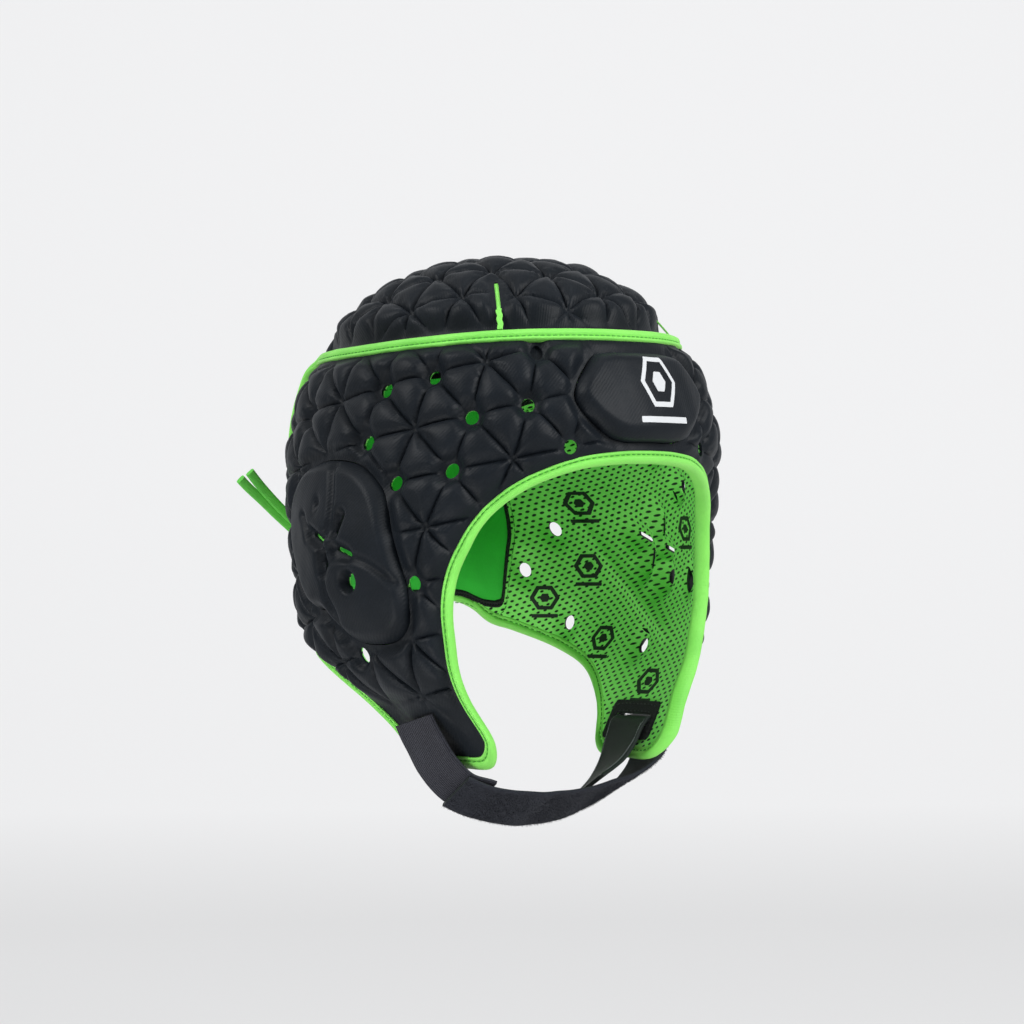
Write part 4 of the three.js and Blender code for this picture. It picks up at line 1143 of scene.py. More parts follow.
def stitch_tree() -> bpy.types.NodeTree:
    """Geometry nodes that lay a row of stitches along a line of edges.

    Returns:
        The tree.
    """
    sizes = [(name, "Float") for name in ("Pitch", "Stitch Length", "Thread Width")]
    tree = new_tree("stitch_row", "Line", "Stitches", sizes)
    add = tree.nodes.new
    source, result = add("NodeGroupInput"), add("NodeGroupOutput")
    curve, resample = add("GeometryNodeMeshToCurve"), add("GeometryNodeResampleCurve")
    resample.mode = "LENGTH"
    bead = preset(add("GeometryNodeMeshUVSphere"), Segments=6, Rings=5, Radius=0.5)
    place, size = add("GeometryNodeInstanceOnPoints"), add("ShaderNodeCombineXYZ")
    turn, tangent = add("FunctionNodeAlignRotationToVector"), add("GeometryNodeInputTangent")
    turn.axis = "X"
    real, dress = add("GeometryNodeRealizeInstances"), add("GeometryNodeSetMaterial")
    wire(tree, (
        (source, "Line", curve, 0), (curve, 0, resample, "Curve"), (source, "Pitch", resample, "Length"),
        (resample, 0, place, "Points"), (bead, "Mesh", place, "Instance"), (tangent, 0, turn, "Vector"),
        (turn, 0, place, "Rotation"), (source, "Stitch Length", size, "X"),
        (source, "Thread Width", size, "Y"), (source, "Thread Width", size, "Z"), (size, 0, place, "Scale"),
        (place, 0, real, 0), (real, 0, dress, "Geometry"), (source, "Material", dress, "Material"),
        (dress, 0, result, 0),
    ))
    return tree


def pile_tree() -> bpy.types.NodeTree:
    """Geometry nodes that plant short fibres on a face.

    Returns:
        The tree.
    """
    sizes = [(name, "Float") for name in ("Density", "Fibre Length", "Fibre Width")]
    tree = new_tree("loop_pile_fibres", "Face", "Fibres", [*sizes, ("Seed", "Int")])
    add = tree.nodes.new
    source, result = add("NodeGroupInput"), add("NodeGroupOutput")
    scatter, fibre = add("GeometryNodeDistributePointsOnFaces"), add("GeometryNodeMeshCone")
    preset(fibre, Vertices=3, Side_Segments=1, Radius_Top=0.15, Radius_Bottom=0.5, Depth=1.0)
    place, lean = add("GeometryNodeInstanceOnPoints"), add("FunctionNodeRandomValue")
    lean.data_type = "FLOAT_VECTOR"
    preset(lean, Min=(-0.9, -0.9, -3.1), Max=(0.9, 0.9, 3.1))
    spin, to_rotation = add("FunctionNodeRotateRotation"), add("FunctionNodeEulerToRotation")
    spin.rotation_space = "LOCAL"
    size = add("ShaderNodeCombineXYZ")
    real, dress = add("GeometryNodeRealizeInstances"), add("GeometryNodeSetMaterial")
    wire(tree, (
        (source, "Face", scatter, "Mesh"), (source, "Density", scatter, "Density"),
        (source, "Seed", scatter, "Seed"), (source, "Seed", lean, "Seed"),
        (scatter, "Points", place, "Points"), (fibre, "Mesh", place, "Instance"),
        (scatter, "Rotation", spin, 0), (lean, 0, to_rotation, 0), (to_rotation, 0, spin, 1),
        (spin, 0, place, "Rotation"), (source, "Fibre Width", size, "X"), (source, "Fibre Width", size, "Y"),
        (source, "Fibre Length", size, "Z"), (size, 0, place, "Scale"), (place, 0, real, 0),
        (real, 0, dress, "Geometry"), (source, "Material", dress, "Material"), (dress, 0, result, 0),
    ))
    return tree


def grow(obj: bpy.types.Object, tree: bpy.types.NodeTree, values: dict) -> bpy.types.Object:
    """Runs a geometry node tree on an object and keeps the result as a plain mesh.

    Args:
        obj: The object that carries the line or face.
        tree: The node tree.
        values: Input values by socket name.

    Returns:
        The same object with its new mesh.
    """
    modifier = obj.modifiers.new("grow", "NODES")
    modifier.node_group = tree
    for item in tree.interface.items_tree:
        if item.in_out == "INPUT" and item.name in values:
            modifier[item.identifier] = values[item.name]
    depsgraph = bpy.context.evaluated_depsgraph_get()
    mesh = bpy.data.meshes.new_from_object(obj.evaluated_get(depsgraph), depsgraph=depsgraph)
    obj.modifiers.remove(modifier)
    old = obj.data
    obj.data = mesh
    bpy.data.meshes.remove(old)
    mesh.polygons.foreach_set("use_smooth", [True] * len(mesh.polygons))
    return obj


@dataclass
class Stitching:
    """Rows of stitches, sewn one at a time."""

    pitch: float = 0.0027
    length: float = 0.0021
    width: float = 0.0006

    def __post_init__(self) -> None:
        """Builds the shared node tree."""
        self.tree = stitch_tree()

    def sew(self, name: str, lines: Sequence[Array], material: bpy.types.Material, slot: Slot,
            **sizes: float) -> bpy.types.Object:
        """Sews a row along each line of places.

        Args:
            name: Name of the piece.
            lines: Lines of positions in metres.
            material: The thread.
            slot: Material kind of the stitches; not used.
            sizes: Pitch, length or width where they differ.

        Returns:
            The stitches as one piece.
        """
        verts = np.concatenate(lines)
        edges, start = [], 0
        for line in lines:
            edges += [[start + n, start + n + 1] for n in range(len(line) - 1)]
            start += len(line)
        mesh = bpy.data.meshes.new(name)
        mesh.from_pydata(verts.tolist(), edges, [])
        obj = add_object(name, mesh)
        grow(obj, self.tree, {
            "Pitch": sizes.get("pitch", self.pitch), "Stitch Length": sizes.get("length", self.length),
            "Thread Width": sizes.get("width", self.width), "Material": material,
        })
        return settle(obj)


def settle(obj: bpy.types.Object, replaces: Sequence[str] = ()) -> bpy.types.Object:
    """Lets a piece ride on the guard and hides the imported parts that it stands for."""
    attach(obj, "root")
    if replaces:
        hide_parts(*replaces)
    return obj


@dataclass
class Layers:
    """Depths of the cloth and foam layers, inward from the outer face."""

    lining: float = 1.0
    layer_gap: float = 0.5
    tuck_thickness: float = 2.2
    seam: float = 5.0
    pressed: float = 4.0
    pressed_open: float = 7.4
    rear_stand: float = 3.8
    hole_outer: float = 6.2
    hole_inner: float = 7.4
    hole_lining: float = 7.6
    slit_outer: float = 3.6
    slit_inner: float = 5.0
    slit_lining: float = 5.2
    cloth: float = 0.6
    roll: float = 9.0
    binding_width: float = 5.0
    binding_top: float = 2.6
    binding_back: float = 12.9
    groove: float = 0.4
    panel: float = 7.2
    panel_from: float = 0.40
    tab_from: float = 0.900
    fade: float = 14.0
    tuck_clear: float = 13.0
    lining_seam: float = 2.4
    tape_lap: float = 1.2
    face_thinning: float = 4.4
    face_fade: float = 33.0
    rear_thinning: float = 1.7
    rear_fade: float = 24.0

    def __post_init__(self) -> None:
        """Works out the depths that follow from the others."""
        self.band_back = SHELL.wall - self.lining - self.layer_gap
        self.crown_back = self.band_back - self.layer_gap
        self.tuck_front = self.crown_back - self.tuck_thickness
        self.tuck_back = self.tuck_front - 4 * self.layer_gap

    def band_inner(self, u: Array, v: Array) -> Array:
        """Inner face of the band, lifted over the tucked crown margin."""
        return mix(self.tuck_back, self.band_back, ease((LINES.crown_edge(u, v) - self.tuck_clear) / 3))

    def taped(self, u: Array, v: Array) -> Array:
        """Distance to the line inside the binding where the layers end."""
        return LINES.band_edge(u, v) + self.binding_width - self.tape_lap

    def open_share(self, u: Array, v: Array) -> Array:
        """How far a place belongs to the open face and neck edges, from 0 to 1."""
        rear = ease((np.abs(u) - SHELL.along(118)) / SHELL.along(8)) * ease((v - SHELL.height(0.70)) / 8)
        return ease((SHELL.height(0.26) - v) / 15) * (1 - rear)

    def pressed_at(self, u: Array, v: Array) -> Array:
        """Depth to which the cloth is pressed beside a binding."""
        return mix(self.pressed, self.pressed_open, self.open_share(u, v))

    def proud(self, u: Array, v: Array) -> Array:
        """How far the tape on the rear edge stands out past the pillows."""
        side = ease((np.abs(u) - SHELL.along(125)) / SHELL.along(12))
        below_corner = ease((SHELL.height(0.17) - v) / 14)
        return self.rear_stand * side * below_corner * ease((v - SHELL.height(0.62)) / 32)

    def thinned(self, u: Array, v: Array) -> Array:
        """Extra depth where the foam thins toward the face edges and the rear edges.

        Args:
            u: Places along the pattern.
            v: Places up the pattern.

        Returns:
            The extra depth at each place.
        """
        away = -LINES.band_edge(u, v)
        before_ear = ease((SHELL.along(102) - np.abs(u)) / SHELL.along(18))
        face = self.face_thinning * self.open_share(u, v) * before_ear * (1 - ease(away / self.face_fade))
        behind_ear = ease((np.abs(u) - SHELL.along(118)) / SHELL.along(10))
        rear = self.rear_thinning * behind_ear * (1 - ease(away / self.rear_fade))
        return face + rear * ease((v - SHELL.height(0.66)) / 25)

    @staticmethod
    def near(away: Array, reach: float) -> Array:
        """Pull toward an opening, 1 at its rim."""
        return np.exp(-((np.maximum(away, 0) / reach) ** 2))


LAYERS = Layers()


@dataclass
class Slits:
    """The ear star and the strap slot, as openings in pads and linings."""

    star: tuple = (88.8, 0.566)
    width: float = 2.2
    rows: tuple = (((4, 4), (6.5, 11)), ((-7, 0), (-16, 3.5)), ((5, -3), (13, -5.5)),
                   ((-4.5, -5), (-5.5, -12.5)))
    slot_centre: tuple = (72.7, 0.926)
    slot_half: tuple = (17.75, 2.5)

    def ear(self, u: Array, v: Array) -> Array:
        """Distance to the nearest ear slit on either side."""
        u = np.abs(u)
        centre = (SHELL.along(self.star[0]), SHELL.height(self.star[1]))
        cuts = [capsule_edge((centre[0] - a[0], centre[1] + a[1]), (centre[0] - b[0], centre[1] + b[1]),
                             self.width / 2)(u, v) for a, b in self.rows]
        return np.minimum.reduce(cuts)

    def slot(self, u: Array, v: Array) -> Array:
        """Distance to the strap slot in the left tab."""
        centre = (-SHELL.along(self.slot_centre[0]), SHELL.height(self.slot_centre[1]))
        return box_edge(centre, self.slot_half, 1.6)(u, v)


SLITS = Slits()


def vents_edge(lattice: Lattice, vents: Sequence, radius: float, both: bool) -> Edge:
    """Distance to the nearest vent hole.

    Args:
        lattice: The lattice that places the holes.
        vents: Lattice places of their centres.
        radius: Their radius.
        both: Whether the holes are repeated on the other side of the front centre.

    Returns:
        The distance function.
    """
    centres = np.array([lattice.at(i, j) for i, j in vents])

    def distance(u: Array, v: Array) -> Array:
        """Distance at pattern places."""
        x = np.abs(u) if both else u
        return np.minimum.reduce([np.hypot(x - cu, v - cv) for cu, cv in centres]) - radius

    return distance


def band_grid(edge: Edge, parts: int) -> tuple[Array, Array]:
    """Seam-aligned grid on both sides of the face, cut by the edge."""
    half = clip(*BAND_LATTICE.grid(parts, edge), lambda u, v: -u)
    return clip(*mirror_join(*half), edge)


@dataclass
class QuiltedBand:
    """The side band: quilted foam with vents, a forehead opening and two ear openings."""

    finishes: Finishes
    parts: int = 20
    fullness: float = 0.40
    vents: Edge = field(default_factory=lambda: vents_edge(BAND_LATTICE, BAND_VENTS, VENT_RADIUS, both=True))

    def sink(self, u: Array, v: Array) -> Array:
        """Depth of the band's outer face.

        Args:
            u: Places along the pattern.
            v: Places up the pattern.

        Returns:
            The depth at each place.
        """
        fade = ease((v - SHELL.height(LAYERS.tab_from)) / LAYERS.fade)
        puff = BAND_LATTICE.puff(np.abs(u), v, self.fullness)
        quilt = LAYERS.seam * (1 - fade * puff) - 0.35 * puff * (1 + ripple(u, v, 34, 3))
        roll = ease(-LAYERS.taped(u, v) / LAYERS.roll)
        beside = np.minimum(np.abs(LINES.forehead_edge(u, v)), np.abs(LINES.ear_edge(u, v)))
        quilt = mix(LAYERS.pressed + 0.8, quilt, ease((beside - 0.8) / 6.5))
        crease = 0.15 * ripple(u, v, 9, 8, 3) * ease(puff * 3) * ease((1 - puff) * 3)
        sink = mix(LAYERS.pressed_at(u, v), quilt + crease + LAYERS.thinned(u, v), roll)
        return mix(sink, LAYERS.hole_outer, LAYERS.near(self.vents(u, v), 3.2))

    def build(self) -> bpy.types.Object:
        """Builds the band."""

        def edge(u: Array, v: Array) -> Array:
            """Distance to the band's outline and openings."""
            return np.maximum.reduce([
                LAYERS.taped(u, v), LAYERS.groove / 2 - LINES.forehead_edge(u, v),
                LAYERS.groove / 2 - LINES.ear_edge(u, v), -self.vents(u, v), -SLITS.slot(u, v),
            ])

        points, tris = band_grid(edge, self.parts)
        u, v = points.T
        outer = SHELL.point(u, v, self.sink(u, v))
        deep = mix(LAYERS.band_inner(u, v), LAYERS.hole_inner, LAYERS.near(self.vents(u, v), 4.6))
        inner = SHELL.point(u, v, np.maximum(deep, self.sink(u, v) + 0.8))
        obj = lay("quilted_band", self.finishes.cloth, points, tris, outer, inner)
        settle(obj, ["band_pad"])
        return obj


@dataclass
class QuiltedCrown:
    """The crown: large pillows on top, a plain back panel, and a margin tucked under the band."""

    finishes: Finishes
    parts: int = 20
    fullness: float = 0.38
    vents: Edge = field(
        default_factory=lambda: vents_edge(CROWN_LATTICE, CROWN_VENTS, VENT_RADIUS / 2, both=False))
    dart: tuple = ((-46.6, -6.2), (-44.8, -27.6))
    dart_width: float = 2.2

    def dart_line(self) -> tuple[tuple[float, float], tuple[float, float]]:
        """Ends of the right dart on the crown's plane."""
        ends = [SHELL.to_crown(SHELL.along(-degrees), z + 4.0) for degrees, z in self.dart]
        return ends[0], ends[1]

    def dart_edge(self, x: Array, y: Array) -> Array:
        """Distance to the darts on both sides."""
        a, b = self.dart_line()
        return capsule_edge(a, b, self.dart_width / 2)(np.abs(x), y)

    def sink(self, x: Array, y: Array) -> Array:
        """Depth of the crown's outer face.

        Args:
            x: Places across the crown's plane.
            y: Places along it, toward the back.

        Returns:
            The depth at each place.
        """
        u, v = SHELL.from_crown(x, y)
        fade = ease((v - SHELL.height(LAYERS.panel_from)) / LAYERS.fade)
        puff = CROWN_LATTICE.puff(x, y, self.fullness)
        swell = 1.2 + LAYERS.seam * (1 - puff) - 0.5 * puff * (1 + ripple(x, y, 40, 5))
        near = self.dart_edge(x, y)
        swell = mix(3.4, swell, ease((near - 2.0) / 5.0))
        swell = swell + 0.2 * ripple(x, y, 9, 11, 3) * ease(puff * 3) * ease((1 - puff) * 3)
        swell = mix(swell, LAYERS.hole_outer, LAYERS.near(self.vents(x, y), 1.8))
        quilt = mix(LAYERS.panel + 0.25 * ripple(x, y, 26, 6), swell, fade)
        rim = ease(-LINES.crown_plane_edge(x, y) / LAYERS.roll)
        roll = np.minimum(ease((LINES.band_edge(u, v) - 3) / LAYERS.roll), rim)
        return mix(LAYERS.tuck_front, quilt, roll)

    def build(self) -> bpy.types.Object:
        """Builds the crown and the green backing of its darts."""

        def edge(x: Array, y: Array) -> Array:
            """Distance to the crown's outline and openings."""
            return np.maximum.reduce([LINES.crown_plane_edge(x, y), -self.vents(x, y), -self.dart_edge(x, y)])

        points, tris = clip(*CROWN_LATTICE.grid(self.parts, LINES.crown_plane_edge), edge)
        x, y = points.T
        outer = SHELL.crown_point(x, y, self.sink(x, y))
        deep = mix(LAYERS.crown_back, LAYERS.hole_inner, LAYERS.near(self.vents(x, y), 3.0))
        inner = SHELL.crown_point(x, y, deep)
        obj = lay("quilted_crown", self.finishes.cloth, points, tris, outer, inner)
        settle(obj, ["crown_pad"])
        self.build_darts()
        return obj

    def build_darts(self) -> None:
        """Lays the green cloth that shows in the darts, just under the black."""
        a, b = (np.array(end) for end in self.dart_line())
        t = np.linspace(-0.02, 1.02, 60)[:, None]
        line = a + (b - a) * t
        side = np.array([-(b - a)[1], (b - a)[0]]) / np.linalg.norm(b - a)
        wobble = 0.25 * np.sin(np.linspace(0, 40, 60))[:, None]
        for hand in (1, -1):
            rows = [line + side * (offset + wobble) for offset in (-1.5, -0.5, 0.5, 1.5)]
            grid = np.stack(rows, 1).reshape(-1, 2) * [hand, 1]
            quads = strip_quads(60, 4)
            tris = np.concatenate([quads[:, [0, 1, 2]], quads[:, [0, 2, 3]]])
            outer = SHELL.crown_point(*grid.T, 3.9)
            inner = SHELL.crown_point(*grid.T, 4.5)
            name = f"crown_dart_{'right' if hand > 0 else 'left'}"
            settle(lay(name, self.finishes.tape, grid, tris, outer, inner))


@dataclass
class SmoothPads:
    """The forehead pad and the two ear pads, moulded without quilting."""

    finishes: Finishes
    parts: int = 22
    swell: float = -0.5
    upper_lobe: tuple = ((91.3, 0.412), (89.8, 0.455), (88.9, 0.495), (88.8, 0.530), (90.3, 0.555),
                         (93.5, 0.560), (98.5, 0.545), (102, 0.515))
    lower_lobe: tuple = ((89.0, 0.735), (88.8, 0.700), (91.2, 0.662), (91.5, 0.632), (89.0, 0.606),
                         (82.5, 0.595), (76.5, 0.602), (71.5, 0.622), (67.8, 0.645))

    def forehead_sink(self, u: Array, v: Array) -> Array:
        """Depth of the forehead pad's outer face."""
        inside = -LINES.forehead_edge(u, v) - LAYERS.groove / 2
        crown = np.sqrt(ease(inside / 6.0))
        return mix(LAYERS.pressed, self.swell - 0.25 * ripple(u, v, 30, 4), crown)

    def ear_sink(self, u: Array, v: Array) -> Array:
        """Depth of an ear pad's outer face, with its two pressed lobes.

        Args:
            u: Places along the pattern.
            v: Places up the pattern.

        Returns:
            The depth at each place.
        """
        u = np.abs(u)
        inside = -LINES.ear_edge(u, v) - LAYERS.groove / 2
        sink = mix(LAYERS.pressed + 0.3, self.swell + 0.2 * ripple(u, v, 32, 9), np.sqrt(ease(inside / 5.5)))
        upper = Outlines.run(self.upper_lobe, 60)
        lower = Outlines.run(self.lower_lobe, 60)
        for run, depth, width in ((upper, 2.3, 1.9), (lower, 2.1, 1.9)):
            away = np.full(u.shape, 1e3)
            for p, q in zip(run[:-1], run[1:]):
                away = np.minimum(away, capsule_edge(p, q, 0.0)(u, v))
            sink = sink + depth * np.exp(-((away / width) ** 2)) * ease(inside / 3.0)
        vent_u, vent_v = BAND_LATTICE.at(*EAR_VENTS[0])
        vent = np.hypot(u - vent_u, v - vent_v)
        sink = mix(sink, LAYERS.slit_outer, LAYERS.near(vent - VENT_RADIUS, 1.6))
        dimple = np.hypot((u - SHELL.along(95.3)) / 1.6, (v + 101.0) / 3.2)
        sink = sink + 2.6 * np.exp(-(dimple**2))
        return mix(sink, LAYERS.slit_outer, LAYERS.near(SLITS.ear(u, v), 2.4))

    def build(self) -> None:
        """Builds the three pads."""
        points, tris = band_grid(lambda u, v: LINES.forehead_edge(u, v) + LAYERS.groove / 2, self.parts)
        u, v = points.T
        outer = SHELL.point(u, v, self.forehead_sink(u, v))
        inner = SHELL.point(u, v, LAYERS.band_inner(u, v))
        obj = lay("smooth_forehead_pad", self.finishes.cloth, points, tris, outer, inner)
        settle(obj, ["forehead_pad"])
        vent = vents_edge(BAND_LATTICE, EAR_VENTS, VENT_RADIUS, both=True)
        grid = BAND_LATTICE.grid(self.parts, LINES.ear_edge)
        right = grid[0][:, 0] > 0
        points, tris = clip(grid[0], grid[1][right[grid[1]].all(1)], lambda u, v: np.maximum.reduce(
            [LINES.ear_edge(u, v) + LAYERS.groove / 2, -vent(u, v), -SLITS.ear(u, v)]))
        for side in Side:
            u, v = points[:, 0] * side.value, points[:, 1]
            sink, holes = self.ear_sink(u, v), np.minimum(vent(u, v), SLITS.ear(u, v))
            deep = mix(LAYERS.band_inner(u, v), LAYERS.slit_inner, LAYERS.near(holes, 5.0))
            outer, inner = SHELL.point(u, v, sink), SHELL.point(u, v, np.maximum(deep, sink + 0.8))
            hand = side.name.lower()
            obj = lay(f"smooth_ear_pad_{hand}", self.finishes.cloth, np.stack([u, v], 1), tris, outer, inner)
            settle(obj, [f"ear_pad_{hand}"])


@dataclass
class Linings:
    """The perforated side lining, the plain crown lining and the seam between them."""

    finishes: Finishes
    stitching: Stitching
    parts: int = 20
    crease: tuple = ((116.2, -108.5), (111.2, -120.5), (102.8, -133.4), (90.0, -146.1), (75.2, -157.4),
                     (68.0, -164.0))
    fold_height: float = 2.3
    fold_width: float = 4.2
    seam_section: tuple = ((-0.5, 12.05), (0.6, 12.7), (1.8, 12.7), (3.0, 12.05), (2.6, 11.75), (0.0, 11.75))

    def __post_init__(self) -> None:
        """Readies the long fold and the openings."""
        line = Spline(np.array([[SHELL.along(degrees), z] for degrees, z in self.crease])).spaced(30)
        low, high = np.array([40.0, -235.0]), np.array([300.0, 20.0])
        self.long_fold = Field(lambda u, v: np.minimum.reduce(
            [capsule_edge(a, b, 0.0)(u, v) for a, b in zip(line[:-1], line[1:])]), low, high, 2.0)
        self.vents = vents_edge(BAND_LATTICE, BAND_VENTS, VENT_RADIUS + 0.2, both=True)
        self.ear_vents = vents_edge(BAND_LATTICE, EAR_VENTS, VENT_RADIUS + 0.2, both=True)

    def fold(self, u: Array, v: Array) -> Array:
        """Soft folds that lift the lining off the foam, in millimetres."""
        u = np.abs(u)
        away = self.long_fold(u, v)
        end = ease((SHELL.along(122) - u) / 14) * ease((u - SHELL.along(66)) / 20)
        swell = 0.5 * ripple(u, v, 46, 12, 1) + 0.15 * ripple(u, v, 15, 13, 1)
        return self.fold_height * np.exp(-((away / self.fold_width) ** 2)) * end + swell

    def face(self, u: Array, v: Array) -> Array:
        """Depth of the side lining's inner face."""
        border = np.maximum(LAYERS.taped(u, v), LAYERS.lining_seam - LINES.crown_edge(u, v))
        face = SHELL.wall + self.fold(u, v) * ease(-border / 6.0)
        face = mix(face, LAYERS.hole_lining + LAYERS.cloth, LAYERS.near(self.vents(u, v), 4.6))
        slits = np.minimum(self.ear_vents(u, v), SLITS.ear(u, v))
        return mix(face, LAYERS.slit_lining + LAYERS.cloth, LAYERS.near(slits, 5.5))

    def build_band(self) -> None:
        """Builds the perforated lining of the band."""

        def edge(u: Array, v: Array) -> Array:
            """Distance to the lining's outline and openings."""
            return np.maximum.reduce([
                LAYERS.taped(u, v), LAYERS.lining_seam - LINES.crown_edge(u, v), -self.vents(u, v),
                -self.ear_vents(u, v), 0.1 - SLITS.ear(u, v), -SLITS.slot(u, v),
            ])

        points, tris = band_grid(edge, self.parts)
        u, v = points.T
        face = self.face(u, v)
        outer, inner = SHELL.point(u, v, face - LAYERS.cloth), SHELL.point(u, v, face)
        obj = lay("perforated_side_lining", self.finishes.mesh, points, tris, outer, inner)
        settle(obj, ["band_lining"])
        self.declare(obj, points, tris)

    def build_crown(self) -> None:
        """Builds the plain lining of the crown and back panel."""
        vents = vents_edge(CROWN_LATTICE, CROWN_VENTS, 0.6, both=False)
        points, tris = clip(*CROWN_LATTICE.grid(14, LINES.crown_plane_edge),
                            lambda x, y: np.maximum(LINES.crown_plane_edge(x, y), -vents(x, y)))
        x, y = points.T
        face = SHELL.wall + 0.3 * (1 + ripple(x, y, 46, 14)) * ease(-LINES.crown_plane_edge(x, y) / 8.0)
        face = mix(face, LAYERS.hole_lining + LAYERS.cloth, LAYERS.near(vents(x, y) - 1.2, 3.0))
        outer, inner = SHELL.crown_point(x, y, face - LAYERS.cloth), SHELL.crown_point(x, y, face)
        obj = lay("plain_crown_lining", self.finishes.jersey, points, tris, outer, inner)
        settle(obj, ["crown_lining"])
        self.declare(obj, points, tris)

    @staticmethod
    def declare(obj: bpy.types.Object, points: Array, tris: Array) -> None:
        """Reads the face areas of a lining, and keeps nothing.

        Args:
            obj: The lining.
            points: Its flat pattern points; not used.
            tris: Its pattern triangles; not used.
        """
        polygons = obj.data.polygons
        areas = np.empty(len(polygons))
        polygons.foreach_get("area", areas)

    def build_seam(self) -> None:
        """Builds the overlocked seam where the two linings meet."""
        ring = Spline(LINES.crown_outline[::2], closed=True).spaced(560)
        ring = np.concatenate([ring, ring[:1]])
        back = np.abs(SHELL.from_crown(*ring.T)[0]) > SHELL.along(100)
        tangent = np.gradient(ring, axis=0)
        normal = unit(np.stack([tangent[:, 1], -tangent[:, 0]], 1))
        probe = ring + normal
        outside = LINES.crown_plane_edge(*probe.T) > 0
        normal[~outside] *= -1

        def at(offset: float, sink: float) -> Array:
            """Places beside the seam line, in metres."""
            return SHELL.crown_point(*(ring + normal * offset).T, sink)

        rows = np.stack([at(across, sink) for across, sink in self.seam_section], 1)[:-1]
        verts = rows.reshape(-1, 3)
        sides = len(self.seam_section)
        faces = outward(verts, tube_faces(len(rows), sides, closed=True))
        pattern = ring_pattern(np.arange(len(rows)), np.arange(sides)) * MM
        settle(make_object("overlock_seam", verts, faces, self.finishes.patch, pattern))
        zigzag = np.where(np.arange(len(ring)) % 2 == 0, 0.1, 2.4)
        cross = SHELL.crown_point(*(ring + normal * zigzag[:, None]).T, 12.75)
        start = int(np.argmax(~back))
        line = np.concatenate([cross[start:], cross[1:start]])
        self.stitching.sew("overlock_threads", [line], self.finishes.black_thread, Slot.MESH,
                           pitch=0.0016, length=0.0022, width=0.0005)
        self.stitching.sew("lining_seam_stitches", [at(6.0, 12.25)], self.finishes.thread, Slot.MESH,
                           width=0.0005)


